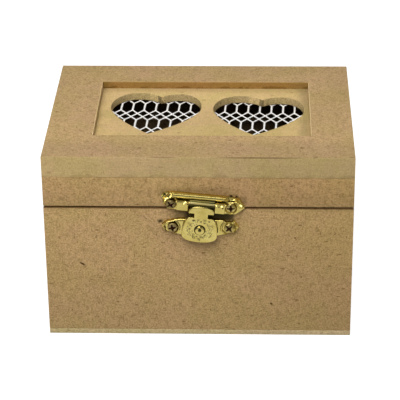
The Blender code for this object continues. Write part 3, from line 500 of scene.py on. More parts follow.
def bore(piece, front, cutters):
    """Cut round blind holes into a piece's front face and keep the result as its mesh."""
    bm = bmesh.new()
    for x, z, radius, depth in cutters:
        turn = Matrix.Translation((x, front + depth / 2 - 0.25, z)) @ Matrix.Rotation(math.pi / 2, 4, "X")
        bmesh.ops.create_cone(bm, cap_ends=True, segments=20, radius1=radius * 0.8, radius2=radius,
                              depth=depth + 0.5, matrix=turn)
    cutter = add_mesh("cutter", bm)
    modifier = piece.modifiers.new("bores", "BOOLEAN")
    modifier.operation = "DIFFERENCE"
    modifier.solver = "EXACT"
    modifier.object = cutter
    bpy.context.view_layer.update()
    result = bpy.data.meshes.new_from_object(piece.evaluated_get(bpy.context.evaluated_depsgraph_get()))
    piece.modifiers.remove(modifier)
    piece.data = result
    smooth(result, 20)
    bpy.data.objects.remove(cutter)


def rectangle(left, front, right, back):
    """Corners of a rectangle, anticlockwise."""
    return [(left, front), (right, front), (right, back), (left, back)]


def circle(radius, centre=(0.0, 0.0), sides=32):
    """Points round a circle, anticlockwise."""
    turns = [math.tau * i / sides for i in range(sides)]
    return [(centre[0] + radius * math.cos(a), centre[1] + radius * math.sin(a)) for a in turns]


def cubic(start, leave, arrive, end, steps):
    """Points along a cubic curve, with its start and without its end."""
    corners = (start, leave, arrive, end)
    points = []
    for t in (i / steps for i in range(steps)):
        weights = ((1 - t) ** 3, 3 * t * (1 - t) ** 2, 3 * t * t * (1 - t), t ** 3)
        points.append(tuple(sum(w * c[k] for w, c in zip(weights, corners)) for k in (0, 1)))
    return points


def mirror(half):
    """The points of an outline's right half mirrored to the left, without those on the middle line."""
    return [(-u, v) for u, v in reversed(half) if u > 1e-9]


def turned(points, angle, centre):
    """The points turned about a centre."""
    cosine = math.cos(angle)
    sine = math.sin(angle)
    return [(centre[0] + (x - centre[0]) * cosine - (y - centre[1]) * sine,
             centre[1] + (x - centre[0]) * sine + (y - centre[1]) * cosine) for x, y in points]


def grown(loop, distance):
    """A closed anticlockwise outline with each point moved outwards."""
    result = []
    for i, point in enumerate(loop):
        here = Vector(point)
        first = (here - Vector(loop[i - 1])).normalized()
        second = (Vector(loop[(i + 1) % len(loop)]) - here).normalized()
        out = Vector((first.y, -first.x))
        normal = out + Vector((second.y, -second.x))
        normal = normal.normalized() if normal.length > 1e-6 else out
        result.append(tuple(here + normal * distance / max(0.35, normal.dot(out))))
    return result


def around(loop):
    """Each point of a closed outline with the next one."""
    return zip(loop, loop[1:] + loop[:1])


def densified(loop, step):
    """A closed outline with points added so that none is further than a step from the next."""
    points = []
    for start, end in around(loop):
        start, end = Vector(start), Vector(end)
        count = max(1, math.ceil((end - start).length / step))
        points += [tuple(start.lerp(end, k / count)) for k in range(count)]
    return points


def softened(polygon, radius, steps=3):
    """The polygon with each corner replaced by a short curve."""
    points = []
    for i, point in enumerate(polygon):
        corner = Vector(point)
        back = Vector(polygon[i - 1]) - corner
        ahead = Vector(polygon[(i + 1) % len(polygon)]) - corner
        start = corner + back.normalized() * min(radius, back.length / 3)
        end = corner + ahead.normalized() * min(radius, ahead.length / 3)
        for step in range(steps + 1):
            t = step / steps
            points.append(tuple(start * (1 - t) ** 2 + corner * 2 * t * (1 - t) + end * t * t))
    return points


def raised(bm, points, height):
    """New vertices over some points, all at one height."""
    return [bm.verts.new((x, y, height)) for x, y in points]


def fill(bm, loops, height):
    """Flat faces between an outline and its holes. Returns the loops of vertices."""
    made = [raised(bm, loop, height) for loop in loops]
    edges = [bm.edges.new((corners[i - 1], corners[i])) for corners in made for i in range(len(corners))]
    bmesh.ops.triangle_fill(bm, edges=edges, use_beauty=True)
    return made


def bridge(bm, lower, upper, index=0):
    """A band of faces between two closed loops of as many vertices. index can be one for each side."""
    for i in range(len(lower)):
        face = bm.faces.new((lower[i - 1], lower[i], upper[i], upper[i - 1]))
        face.material_index = index[i] if isinstance(index, tuple) else index


def drop(bm, upper, rings, lower, index=0):
    """Bands of faces from an upper loop of vertices through rings of (points, height) to a lower loop."""
    for points, height in rings:
        ring = raised(bm, points, height)
        bridge(bm, ring, upper, index)
        upper = ring
    bridge(bm, lower, upper, index)


def heart(left, front, right, back, aside):
    """A heart that fills a rectangle, point towards the front, its notch a little aside of the middle.

    Its right half is drawn in shares of the rectangle's half width and of its height.
    """
    shape = cubic((0.0, 0.0), (0.24, 0.09), (1.0, 0.4), (1.0, 0.655), 22)
    shape += cubic((1.0, 0.655), (1.0, 0.84), (0.8, 1.0), (0.45, 1.0), 18)
    shape += cubic((0.45, 1.0), (0.25, 1.0), (0.09, 0.955), (0.0, 0.905), 14) + [(0.0, 0.905)]
    shape += mirror(shape)
    half = (right - left) / 2
    tall = back - front
    return [(left + half * (1 + u) + aside * (1 - abs(u)) * (v > 0.7), front + tall * v) for u, v in shape]


def hearts():
    """The two hearts of the panel."""
    left = WINDOW[0] + HEARTS_LEFT
    right = WINDOW[2] - HEARTS_RIGHT
    width = (right - left - HEARTS_GAP) / 2
    shapes = []
    for start, front_margin, back_margin, aside in ((left, 6.6, 5.1, 1.0), (right - width, 5.7, 7.6, 0.7)):
        front = WINDOW[1] + front_margin
        back = WINDOW[3] - back_margin
        centre = (start + width / 2, (front + back) / 2)
        shapes.append(turned(heart(start, front, start + width, back, aside), HEARTS_TURN, centre))
    return shapes


def window_inset(play):
    """The window's rectangle with a play on every side."""
    return rectangle(WINDOW[0] + play, WINDOW[1] + play, WINDOW[2] - play, WINDOW[3] - play)


def build_panel():
    """The thin panel with its two hearts, its upper edges softened."""
    soft = 0.12
    bm = bmesh.new()
    loops = [(window_inset(PANEL_PLAY), -1)] + [(shape, 1) for shape in hearts()]
    top = fill(bm, [grown(loop, sign * soft) for loop, sign in loops], PANEL_TOP)
    bottom = fill(bm, [loop for loop, _ in loops], PANEL_BOTTOM)
    for (loop, sign), upper, lower in zip(loops, top, bottom):
        rings = [(grown(loop, sign * soft * (1 - math.sin(a))), PANEL_TOP - soft * (1 - math.cos(a)))
                 for a in (math.pi / 4, math.pi / 2)]
        drop(bm, upper, rings, lower, 1)
    make_piece("panel", bm, [PANEL, CUT], "lid", "heart_panel", "panel_fibreboard", 35)


def build_slab():
    """The thick slab with its window: top, sawn outer edges and the cut walls of the window."""
    bm = bmesh.new()
    outer = rectangle(-HALF_WIDTH, -HALF_DEPTH, HALF_WIDTH, HALF_DEPTH)
    inner = rectangle(*WINDOW)
    top = fill(bm, [grown(outer, -0.18), grown(inner, 0.2)], TOP)
    bottom = fill(bm, [grown(outer, -0.1), inner], SLAB_BOTTOM)
    rings = [(grown(outer, -spread), height) for spread, height in (
        (0.06, TOP - 0.04), (0.02, TOP - 0.1), (0.0, TOP - 0.18), (0.0, SLAB_BOTTOM + 0.1))]
    drop(bm, top[0], rings, bottom[0], 1)
    # The left, front and right walls of the window take the lighter copy, painted light; the back wall keeps
    # the cut edge
    drop(bm, top[1], [(inner, TOP - 0.15)], bottom[1], (3, 3, 3, 2))
    make_piece("slab", bm, [SLAB_FACE, EDGE, WINDOW_CUT, WINDOW_SIDE_LIT], "lid", "top_frame", "fibreboard", 30)


def build_boards():
    """The bottom board, the body's walls and the lid's rims, painted dark inside as shade."""
    w = HALF_WIDTH
    d = HALF_DEPTH
    board("base_board", (-w, -d, 0.0), (w, d, FOOT), PALE, (2, 1), "body", 0.15, "bottom_board",
          "pale_fibreboard")
    inner = d - BOARD - SIDE_GAP
    for part, side, soft, material in BOARDS:
        body, low, high = PARTS[part]
        axis, sign = SIDES[side]
        half = (w, d)[axis]
        thick = sorted((sign * half, sign * (half - BOARD)))
        spans = ((-w, w), thick) if axis else (thick, (-inner, inner))
        corners = [(*corner, z) for corner, z in zip(zip(*spans), (low, high))]
        board(f"{part}_{side}", *corners, material, (axis, -sign), body, soft, f"{side}_{part}")


def inset(polygon, distances):
    """A convex anticlockwise polygon with its sides moved inwards, once for each distance.

    Sides that vanish at the largest distance are left out of every loop.
    """
    sides = []
    for here, after in around(polygon):
        way = (Vector(after) - Vector(here)).normalized()
        sides.append((Vector(here), way, 0.0 if abs(way.y) > 0.95 else THINNER))

    def loop(distance):
        """The corners where each side meets the one before it."""
        moved = [(start + Vector((-way.y, way.x)) * (distance - less), way) for start, way, less in sides]
        pairs = zip(moved[-1:] + moved[:-1], moved)
        return [p + d * ((q - p).cross(e) / d.cross(e)) for (p, d), (q, e) in pairs]

    while len(sides) > 2:
        corners = loop(max(distances))
        gone = [i for i in range(len(sides))
                if (corners[(i + 1) % len(sides)] - corners[i]).dot(sides[i][1]) < 0.05]
        if not gone:
            return [[tuple(corner) for corner in loop(distance)] for distance in distances]
        sides.pop(gone[0])
    return []


def clip(polygon, low, high):
    """The part of a convex polygon inside a rectangle."""
    for axis in (0, 1):
        for limit, side in ((low[axis], 1), (high[axis], -1)):
            kept = []
            for i, point in enumerate(polygon):
                before = polygon[i - 1]
                here = side * (point[axis] - limit)
                there = side * (before[axis] - limit)
                if here * there < 0:
                    share = there / (there - here)
                    kept.append(tuple(before[k] + (point[k] - before[k]) * share for k in (0, 1)))
                if here >= 0:
                    kept.append(point)
            polygon = kept
    return polygon


def area(polygon):
    """The area of a polygon, above 0 if it runs anticlockwise."""
    return sum(p[0] * q[1] - q[0] * p[1] for p, q in around(polygon)) / 2


def lattice_cells(column, row):
    """The three openings that belong to one upright bar: a tall hexagon and two diamonds."""
    x = (column + (row % 2) / 2) * PITCH
    y = row * (UPRIGHT + 3 * RISE)
    top = y + UPRIGHT
    half = PITCH / 2
    far = x + PITCH
    hexagon = [(x, y), (x + half, y - RISE), (far, y), (far, top), (x + half, top + RISE), (x, top)]
    upper = [(x, y), (x - half, y - RISE), (x, y - 2 * RISE), (x + half, y - RISE)]
    lower = [(x + half, y - RISE), (x, y - 2 * RISE), (x + half, y - 3 * RISE), (far, y - 2 * RISE)]
    return hexagon, upper, lower


def build_lattice():
    """The white lattice sheet, its bars rounded on top."""
    outline = window_inset(LATTICE_PLAY)
    low = [k + LATTICE_BORDER for k in outline[0]]
    high = [k - LATTICE_BORDER for k in outline[2]]
    origin = [(low[k] + high[k]) / 2 + LATTICE_SHIFT[k] for k in (0, 1)]
    rows = math.ceil((high[1] - low[1]) / (UPRIGHT + 3 * RISE)) + 2
    columns = math.ceil((high[0] - low[0]) / PITCH) + 2
    profile = [(BAR / 2 - less, LATTICE_TOP - fall) for less, fall in (
        (0.2, 0.0), (0.1, 0.03), (0.03, 0.09), (0.0, 0.17), (0.0, LATTICE_TOP - LATTICE_BOTTOM))]
    stacks = []
    for row in range(-rows, rows):
        for column in range(-columns, columns):
            for cell in lattice_cells(column, row):
                placed = [(origin[0] + x, origin[1] + y) for x, y in cell]
                kept = clip(turned(placed, LATTICE_TURN, origin), low, high)
                loops = inset(kept, [reach for reach, _ in profile]) if area(kept) > 3.0 else []
                if loops and area(loops[-1]) > 0.8:
                    stacks.append([softened(loop, 0.35) for loop in loops])
    bm = bmesh.new()
    top = fill(bm, [outline] + [stack[0] for stack in stacks], LATTICE_TOP)
    bottom = fill(bm, [outline] + [stack[-1] for stack in stacks], LATTICE_BOTTOM)
    drop(bm, top[0], [], bottom[0])
    for stack, upper, lower in zip(stacks, top[1:], bottom[1:]):
        rings = [(loop, height) for loop, (_, height) in zip(stack, profile)]
        drop(bm, upper, rings[1:-1], lower)
    make_piece("lattice", bm, [WHITE], "lid", "lattice_screen", "white_lattice")


def along(points, path):
    """Each point's distance to an open line."""
    line = np.array(path)
    side = line[1:] - line[:-1]
    offset = points[:, None, :] - line[:-1]
    share = np.clip((offset * side).sum(2) / np.maximum((side * side).sum(1), 1e-12), 0, 1)
    return np.sqrt(((offset - share[:, :, None] * side) ** 2).sum(2)).min(1)


def distance_to(points, loops):
    """Each point's distance to the nearest of some closed outlines."""
    return np.min([along(points, loop + loop[:1]) for loop in loops], axis=0)


def inside(points, loops):
    """Whether each point lies inside an outline and outside its holes."""
    x, y = points[:, 0], points[:, 1]
    result = np.zeros(len(points), bool)
    for loop in loops:
        for (x1, y1), (x2, y2) in around(loop):
            if y1 != y2:
                result ^= ((y1 > y) != (y2 > y)) & (x < (x2 - x1) * (y - y1) / (y2 - y1) + x1)
    return result


def round_off(distance, radius):
    """How far a surface falls at a distance from its rounded edge."""
    short = np.clip(radius - distance, 0, radius)
    return radius - np.sqrt(np.maximum(radius * radius - short * short, 0))


def ridge(distance, half, height):
    """A rounded ridge's height at a distance from its middle line."""
    return height * np.sqrt(np.clip(1 - (distance / half) ** 2, 0, 1))


def swell(distance, half, height):
    """A soft swelling's height at a distance from its middle."""
    return height * np.cos(np.clip(distance / half, 0, 1) * math.pi / 2) ** 2


def relief(bm, outline, holes, front, step, mark, back=PLATE_BACK, thickness=None):
    """Add a plate with a modelled front to a bmesh.

    front gives the outward heights from (points, distance to the outline). The back lies flat, or at a
    thickness behind the front. mark gives each face's material index from its middle.
    """
    loops = [densified(loop, step) for loop in [outline] + holes]
    points = []
    edges = []
    for loop in loops:
        first = len(points)
        points += loop
        edges += [(first + i, first + (i + 1) % len(loop)) for i in range(len(loop))]
    extra = [point for number, loop in enumerate(loops) for reach in EDGE_RINGS
             for point in grown(loop, reach if number else -reach)]
    across, up = [np.arange(low, high, step) for low, high in zip(np.min(outline, 0), np.max(outline, 0))]
    extra += [(u + (0.5 * step if row % 2 else 0.0), v) for row, v in enumerate(up) for u in across]
    extra = np.array(extra)
    keep = inside(extra, loops) & (distance_to(extra, loops) > 0.6 * EDGE_RINGS[0])
    points += [tuple(p) for p in extra[keep]]
    made = delaunay_2d_cdt([Vector(p) for p in points], edges, [], 0, 1e-6)
    flat = np.array([tuple(v) for v in made[0]])
    middles = np.array([flat[list(face)].mean(0) for face in made[2]])
    keep = inside(middles, loops)
    faces = [tuple(face) for face, kept in zip(made[2], keep) if kept]
    tops = front(flat, distance_to(flat, loops[:1]))
    bottoms = tops - thickness if thickness else np.full(len(tops), back)
    used = sorted({corner for face in faces for corner in face})
    upper, lower = [{k: bm.verts.new((*flat[k], heights[k])) for k in used} for heights in (tops, bottoms)]
    seen = {}
    for face, middle in zip(faces, middles[keep]):
        bm.faces.new([upper[k] for k in face]).material_index = mark(middle)
        bm.faces.new([lower[k] for k in reversed(face)])
        for a, b in around(face):
            seen.setdefault((min(a, b), max(a, b)), []).append((a, b))
    for uses in seen.values():
        if len(uses) == 1:
            a, b = uses[0]
            bm.faces.new((upper[b], upper[a], lower[a], lower[b]))


def lathe(bm, profile, centre=(0.0, 0.0), sides=36, dark=()):
    """Add a round piece about the outward axis to a bmesh, from (radius, height) points.

    dark lists the bands between those points that have the second material.
    """
    rings = []
    for radius, height in profile:
        if radius > 0:
            rings.append(raised(bm, circle(radius, centre, sides), height))
        else:
            rings.append([bm.verts.new((*centre, height))] * sides)
    for number, (lower, upper) in enumerate(zip(rings, rings[1:])):
        for i in range(sides):
            corners = dict.fromkeys((lower[i - 1], lower[i], upper[i], upper[i - 1]))
            bm.faces.new(list(corners)).material_index = int(number in dark)


def planed(points, height, facets):
    """The heights with a patch along each line planed at a slope that faces up and a little left."""
    for path, radius, level in facets:
        u, v = (points - np.mean(path, axis=0)).T
        share = np.clip((radius - along(points, path)) / 0.26, 0, 1)
        plane = np.minimum(height + 0.5, level + 0.16 * u - 1.0 * v)
        height = height * (1 - share) + plane * share
    return height


def upper_heights(points, edge):
    """The upper plate's front: stamped ribs, curled left end, beaded right end and dished screw seats."""
    u, v = points.T
    height = PLATE_FRONT - round_off(edge, PLATE_ROUND)
    for path, half, lift in UPPER_RIBS:
        height = np.maximum(height, 0.9 + ridge(along(points, path), half, lift))
    beads = ridge(np.abs(edge - 0.36), 0.3, 0.45) + ridge(np.abs(edge - 1.1), 0.3, 0.38)
    height += np.where((u > 11.6) & (v > -0.7), beads, 0.0)
    height -= swell(np.hypot(u + 13.5, (v - 2.05) * 0.9), 0.7, 0.45)
    height = planed(points, height, UPPER_FACETS)
    for hole_u, hole_v in UPPER_HOLES:
        away = np.hypot(u - hole_u, v - hole_v + 0.35)
        height += ridge(np.abs(away - 2.35), 0.26, 0.2)
        height -= 0.25 * np.clip((2.2 - away) / 0.3, 0, 1)
    return height


def upper_mark(middle):
    """Painted shade below the upper plate's long rib, in its curl and in an arc over its right screw."""
    u, v = middle
    right = u - UPPER_HOLES[1][0]
    return int(-9.4 < u < 8.6 and 0.55 < v < 1.28 or math.hypot(u + 13.5, v - 2.0) < 0.42
               or abs(math.hypot(right, v - 0.45) - 1.55) < 0.17 and v > 0.9 and abs(right) < 1.3)


def catch_heights(points, edge):
    """The catch plate's front: a rim along its top and ends, and a dished seat round each screw."""
    u, v = points.T
    height = PLATE_FRONT - round_off(edge, PLATE_ROUND)
    rimmed = (v > 1.2) | ((np.abs(u) > 12.2) & (v > -0.6))
    height += np.where(rimmed, ridge(np.abs(edge - 0.42), 0.4, 0.55), 0.0)
    height += np.where((u > 11.8) & (v > -0.8), ridge(np.abs(edge - 1.02), 0.27, 0.32), 0.0)
    for hole_u, hole_v in CATCH_HOLES:
        away = np.hypot(u - hole_u, v - hole_v)
        height += ridge(np.abs(away - 2.75), 0.3, 0.22)
        height -= 0.35 * np.clip((2.55 - away) / 0.25, 0, 1)
    return planed(points, height, CATCH_FACETS)


def catch_mark(middle):
    """Painted shade round the left screw's seat and below the rim, and a painted shadow of the flap along its
    edges.
    """
    u, v = middle
    right = u - CATCH_HOLES[0][0]
    up = v - CATCH_HOLES[0][1]
    if 2.12 < math.hypot(right, up) < 2.55 and -0.7 < math.atan2(up, right) < 2.4:
        return 1
    if -9.2 < u < -6.0 and 2.35 < v < 2.66:
        return 1
    paths = ((4.75, 3.3), (5.7, 1.6), (6.05, -0.2), (6.15, -1.8)), ((-4.95, 3.3), (-5.6, 2.2), (-6.15, 0.5))
    return int(any(along(middle[None], path)[0] < 0.2 for path in paths))


def flap_pits():
    """Where small marks of a leafy stipple are punched round the knob: (u, v, size)."""
    places = []
    for i in range(165):
        radius = 2.45 + 2.6 * (0.5 + 0.5 * noise.noise((1.7 * i, 0.3, 5.1)) / 0.6)
        turn = i * GOLDEN_ANGLE
        u = radius * math.cos(turn)
        v = KNOB_V + radius * math.sin(turn)
        size = 0.8 + 0.9 * noise.noise((2.3 * i, 4.7, 0.2))
        if 2.35 < radius < 5.0 and v < KNOB_V + 3.9 and abs(u) < 4.9 and size > 0.55:
            places.append((u, v, size))
    return places


FLAP_PITS = flap_pits()


def flap_heights(points, edge):
    """The flap's front: crowned, its end curled in, and stippled rings punched round the knob."""
    u, v = points.T
    radius = 0.32 - 0.2 * np.clip((v + 6.6) / 0.5, 0, 1) * (v < -4.9)
    height = FLAP_FRONT - round_off(edge, radius) + swell(np.abs(u), 6.5, 0.1)
    height -= 0.55 * np.clip((KNOB_V - 3.3 - v) / 2.0, 0, 1) ** 2
    for pit_u, pit_v, size in FLAP_PITS:
        away = np.hypot(u - pit_u, v - pit_v) / size
        height += swell(away, 0.5, 0.11) - swell(away, 0.22, 0.24)
    return height


def flap_mark(middle):
    """Dull brass in the punched marks, and the darker brass of the domed top."""
    if middle[1] > -3.4:
        return 4
    return 2 * int(any(math.hypot(middle[0] - u, middle[1] - v) < 0.15 * size for u, v, size in FLAP_PITS))


def upper_outline():
    """The upper plate seen from the front, its left end curled higher than its right."""
    right = [(4.75, 1.3), (4.75, -3.5), (12.0, -3.5), (15.3, -0.4), (13.1, 2.75), (12.0, 3.1), (8.0, 3.3)]
    left = [(-11.0, 3.35), (-13.4, 2.9), (-14.8, 1.5), (-13.5, -1.3), (-12.0, -3.5)]
    return softened(right + left + [(-4.75, -3.5), (-4.75, 1.3)], 0.6, 5)


def catch_outline():
    """The catch plate seen from the front, with a horn at its top right."""
    half = cubic((0.0, -3.9), (5.4, -3.9), (9.7, -2.2), (12.1, -1.9), 10) + [(12.1, -1.9), (13.9, 0.55)]
    right = half + [(11.9, 3.1), (11.1, 2.5), (9.3, 2.45), (8.3, 3.3)]
    left = half + [(12.4, 2.3), (9.6, 3.05), (7.6, 3.5), (4.5, 3.5)]
    return softened(right + mirror(left), 0.3)


def flap_outline():
    """The flap seen from the front: a domed top, a neck and a skirt with a rounded end."""
    widest = KNOB_V - 2.2
    end = KNOB_V - 5.4
    half = cubic((0.0, end), (4.2, end), (6.42, widest - 0.55 * (widest - end)), (6.3, widest), 16)
    half += cubic((6.3, widest), (6.2, -9.6), (5.9, -7.6), (5.3, -6.5), 8)
    half += cubic((5.3, -6.5), (4.9, -5.8), (4.5, -5.25), (4.0, -5.2), 6)
    half += [(4.0, -5.2), (2.45, -5.2), (2.45, -3.6), (4.5, -3.6)]
    turns = [math.pi / 2 * k / 15 for k in range(15)]
    half += [(4.5 * math.cos(a) ** 0.75, -2.9 + 2.25 * math.sin(a)) for a in turns] + [(0.0, -0.65)]
    return half + mirror(half)


def add_ear(bm, left, right, top, dents, facets):
    """One of the two ears that hold the pin: rounded over the pin, then sloping to the plate's foot.

    Each dent is (u, v, size, depth), painted dark as shade if it is deep.
    """
    def heights(points, edge):
        """The ear's front."""
        u, v = points.T
        height = 2.7 - 0.16 * np.clip(v + 0.85, 0, 9)
        height -= 0.42 * np.clip(-v, 0, 9) * (1 - 0.1 * np.clip(-v, 0, 3))
        radius = np.where((u > 0) & (u < (left + right) / 2), 0.12, 0.35)
        height -= round_off(np.minimum(u - left, right - u), radius)
        height = planed(points, height, facets)
        for dent_u, dent_v, size, depth in dents:
            height -= swell(np.hypot(u - dent_u, v - dent_v), size, depth)
        return height

    def mark(middle):
        """Painted shade in the deep dents."""
        return int(any(math.hypot(middle[0] - u, middle[1] - v) < 0.55 * size
                       for u, v, size, depth in dents if depth > 0.3))

    outline = softened(rectangle(left, -3.35, right, top), 0.25)
    relief(bm, outline, [], heights, 0.17, mark, EAR_BACK)


def add_knuckle(bm):
    """The flap's knuckle round the pin: a painted highlight in one band, painted mid-tone reflections in two
    more and painted shade elsewhere.
    """
    soft = 0.25
    ends = [(soft * (1 - math.cos(a)) - KNUCKLE_HALF, KNUCKLE_RADIUS - soft * (1 - math.sin(a)))
            for a in (0.0, math.pi / 6, math.pi / 3, math.pi / 2)]
    stations = ends + [(-u, radius) for u, radius in reversed(ends)]
    turns = [-math.tau * k / KNUCKLE_SIDES for k in range(1, KNUCKLE_SIDES + 1)]
    rings = [[bm.verts.new((u, radius * math.sin(a), AXIS_W + radius * math.cos(a))) for a in turns]
             for u, radius in stations]
    middles = [(math.degrees(a) + 180 / KNUCKLE_SIDES) % 360 for a in turns]
    index = tuple(3 if 12 < a < 32 else 2 if 32 < a < 44 or 62 < a < 86 else 1 for a in middles)
    for first, second in zip(rings, rings[1:]):
        bridge(bm, first, second, index)
    bm.faces.new(rings[0][::-1])
    bm.faces.new(rings[-1])


def add_screw(name, node, body, place, spot, seat, lean, turn, finish):
    """A pan-head screw with a cross recess, its head's underside at a distance from the wood."""
    angle = math.radians(turn)

    def cross(points):
        """How deep inside the cross each point lies, from 0 outside to 1."""
        u, v = points.T
        x = u * math.cos(angle) + v * math.sin(angle)
        y = v * math.cos(angle) - u * math.sin(angle)
        deep = np.zeros(len(x))
        for along_arm, aside in ((np.abs(x), np.abs(y)), (np.abs(y), np.abs(x))):
            half = 0.34 + 0.3 * np.exp(-(along_arm / 0.55) ** 2) - 0.05 * along_arm
            arm = np.clip((half - aside) / 0.14, 0, 1) * np.clip((1.45 - along_arm) / 0.16, 0, 1)
            deep = np.maximum(deep, arm)
        return deep

    def head(points, edge):
        """The head's domed top with its cross."""
        radius = np.hypot(*points.T)
        return 0.9 - 0.42 * (radius / SCREW_RADIUS) ** 2 - round_off(edge, 0.3) - 0.6 * cross(points)

    def mark(middle):
        """Painted shade inside the cross."""
        return int(cross(middle[None])[0] > 0.25)

    bm = bmesh.new()
    relief(bm, circle(SCREW_RADIUS, sides=48), [], head, 0.11, mark, 0.0)
    lathe(bm, [(0.0, -4.4 - seat), (0.7, -3.2 - seat), (0.7, 0.05), (0.0, 0.05)], sides=16)
    local = Matrix.Translation((*spot, 0.0)) @ Matrix.Rotation(math.radians(lean), 4, "X")
    matrix = on_front(place) @ local @ Matrix.Translation((0, 0, seat))
    make_piece(name, bm, [finish, RECESS_SHADE], body, node, "screw_metal", matrix=matrix)


def build_latch():
    """The latch: upper plate with its ears, flap with its knob, catch plate with its button, and screws."""
    upper_matrix = on_front(UPPER)
    bm = bmesh.new()
    holes = [circle(1.05, hole, 20) for hole in UPPER_HOLES]
    relief(bm, upper_outline(), holes, upper_heights, 0.19, upper_mark)
    add_ear(bm, -9.05, -4.75, 0.75, ((-5.15, -0.45, 0.42, 0.4), (-7.9, -1.9, 1.2, 0.08)),
            ((((-6.5, -0.1), (-5.95, 0.4)), 0.52, 2.5),))
    add_ear(bm, 4.62, 8.15, 0.95,
            ((5.9, -0.25, 0.5, 0.42), (7.35, -0.8, 0.45, 0.42), (6.0, -1.9, 0.9, 0.15)),
            ((((4.95, 0.2), (5.15, 0.0)), 0.48, 2.5), (((6.7, 0.05), (7.1, -0.05)), 0.5, 2.5)))
    make_piece("upper_plate", bm, [BRASS, PAINTED_SHADE_BRASS], "lid", "latch_upper_plate", matrix=upper_matrix)

    bm = bmesh.new()
    relief(bm, flap_outline(), [circle(2.05, (0.0, KNOB_V), 36)], flap_heights, 0.15, flap_mark,
           thickness=FLAP_THICKNESS)
    add_knuckle(bm)
    make_piece("flap", bm, [FLAP_BRASS, PAINTED_SHADE_BRASS, DULL_PITS_AND_PAINTED_SHEEN, PAINTED_HIGHLIGHT_BRASS, BRASS], "flap", "latch_flap",
               matrix=upper_matrix)

    bm = bmesh.new()
    stem = [(0.0, 1.8), (2.7, 1.8), (2.7, 2.2), (1.68, 2.2), (1.68, 3.5)]
    dome = [(1.64, 3.66), (1.54, 3.77), (1.38, 3.83), (1.05, 3.86), (0.72, 3.88), (0.58, 3.84)]
    dimple = [(0.48, 3.68), (0.3, 3.52), (0.0, 3.48)]
    # Painted shade on the flange and stem, seen through the gap round the knob, and in the dimple
    lathe(bm, stem + dome + dimple, (0.0, KNOB_V), dark=(1, 2, 3, 10, 11, 12))
    for vert in bm.verts:
        if vert.co.z > 3.3:
            share = (1.3 - math.hypot(vert.co.x, vert.co.y - KNOB_V)) / 0.7
            vert.co.y += 0.4 * min(1.0, max(0.0, share))
    make_piece("knob", bm, [BRASS, PAINTED_SHADE_BRASS], "flap", "latch_knob", matrix=upper_matrix)

    bm = bmesh.new()
    holes = [circle(0.85, hole, 20) for hole in CATCH_HOLES]
    relief(bm, catch_outline(), holes, catch_heights, 0.19, catch_mark)
    lathe(bm, [(0.0, 0.6), (1.3, 0.6), (1.3, 1.2), (1.2, 1.35), (0.9, 1.4), (0.0, 1.4)], sides=32)
    make_piece("catch_plate", bm, [BRASS, PAINTED_SHADE_BRASS], "body", "latch_catch_plate", matrix=on_front(CATCH))
    for screw in SCREWS:
        add_screw(*screw)


def dress_nodes():
    """Better finishes and softer edges for the CAD nodes that keep their own shape."""
    for name, node in NODES.items():
        if "latch" not in name and "hinge" not in name and "screw" not in name:
            continue
        node.data.materials.clear()
        node.data.materials.append(SCREW if "screw" in name else BRASS)
        weld = node.modifiers.new("weld", "WELD")
        weld.merge_threshold = 0.00001
        soften = node.modifiers.new("soften", "BEVEL")
        soften.width = 0.00008
        soften.segments = 2
        soften.limit_method = "ANGLE"
        soften.angle_limit = math.radians(40)


def build_floor():
    """A pale floor that neither tints nor shades the object."""
    mesh = bpy.data.meshes.new("floor")
    corners = rectangle(-FLOOR_HALF, -FLOOR_HALF, FLOOR_HALF, FLOOR_HALF)
    mesh.from_pydata([(x, y, FLOOR_HEIGHT) for x, y in corners], [], [(0, 1, 2, 3)])
    material, tree, shader = new_material("pale floor")
    connect(tree, shader, {"Base Color": (0.3, 0.3, 0.3), "Roughness": 0.9, "Specular IOR Level": 0.0,
                           "Emission Color": (1.0, 1.0, 1.0), "Emission Strength": 0.9})
    mesh.materials.append(material)
    floor = add_object("floor", mesh)
    floor.visible_diffuse = False
    floor.visible_glossy = False


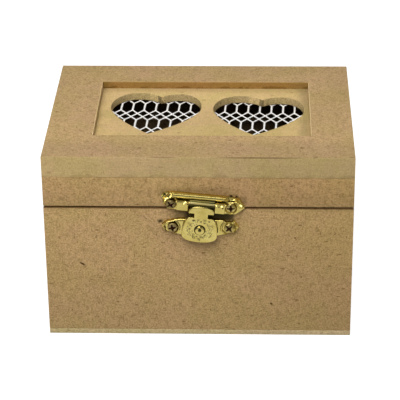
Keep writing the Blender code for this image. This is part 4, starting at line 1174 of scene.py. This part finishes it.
def build_sky():
    """Soft light from all round, bright from below the horizon and dim from above."""
    world = bpy.data.worlds.new("studio")
    bpy.context.scene.world = world
    world.use_nodes = True
    tree = world.node_tree
    direction = tree.nodes.new("ShaderNodeTexCoord").outputs["Generated"]
    up = add_node(tree, "ShaderNodeSeparateXYZ", {0: direction}).outputs[2]
    level = add_node(tree, "ShaderNodeMapRange", {"Value": up, "From Min": -1.0}).outputs["Result"]
    ramp = add_node(tree, "ShaderNodeValToRGB", {"Fac": level})
    connect(tree, tree.nodes["Background"], {"Color": ramp.outputs["Color"]})
    stops = ramp.color_ramp.elements
    stops[0].color = (0.75, 0.74, 0.72, 1.0)
    stops[1].color = (0.1, 0.1, 0.1, 1.0)
    for position, grey in ((0.33, 0.75), (0.42, 0.16), (0.62, 0.14), (0.8, 0.12)):
        stops.new(position).color = (grey, grey * 0.99, grey * 0.97, 1.0)


def area_light(name, place, target, size, power):
    """A soft square light that faces a point."""
    data = bpy.data.lights.new(name, "AREA")
    data.size = size
    data.energy = power
    light = add_object(name, data)
    light.location = place
    light.rotation_euler = (Vector(target) - Vector(place)).to_track_quat("-Z", "Y").to_euler()
    return light


def build_camera():
    """The photo's camera, turned by its yaw, then down by its pitch, then by its roll."""
    data = bpy.data.cameras.new("camera")
    data.sensor_width = 36.0
    data.lens = CAMERA_LENS
    data.clip_start = 0.05
    data.clip_end = 30.0
    camera = add_object("camera", data)
    level = Matrix.Rotation(-YAW, 4, "Z") @ Matrix.Rotation(math.pi / 2, 4, "X")
    turn = level @ Matrix.Rotation(-PITCH_DOWN, 4, "X") @ Matrix.Rotation(-ROLL, 4, "Z")
    camera.matrix_world = Matrix.Translation(CAMERA_PLACE) @ turn
    bpy.context.scene.camera = camera
    bpy.context.scene.view_settings.view_transform = "Standard"


build_floor()
build_sky()
area_light("key", (-0.32, -0.6, 1.2), (0.0, -0.01, 0.05), 1.0, 11.9)
area_light("soft", (-0.05, -0.7, 1.16), (0.0, 0.0, 0.05), 0.8, 10.0).visible_glossy = False
area_light("side", (0.85, -0.65, 0.42), (0.0, 0.0, 0.05), 0.2, 0.4)
build_camera()
build_boards()
build_slab()
build_panel()
build_lattice()
build_latch()
dress_nodes()
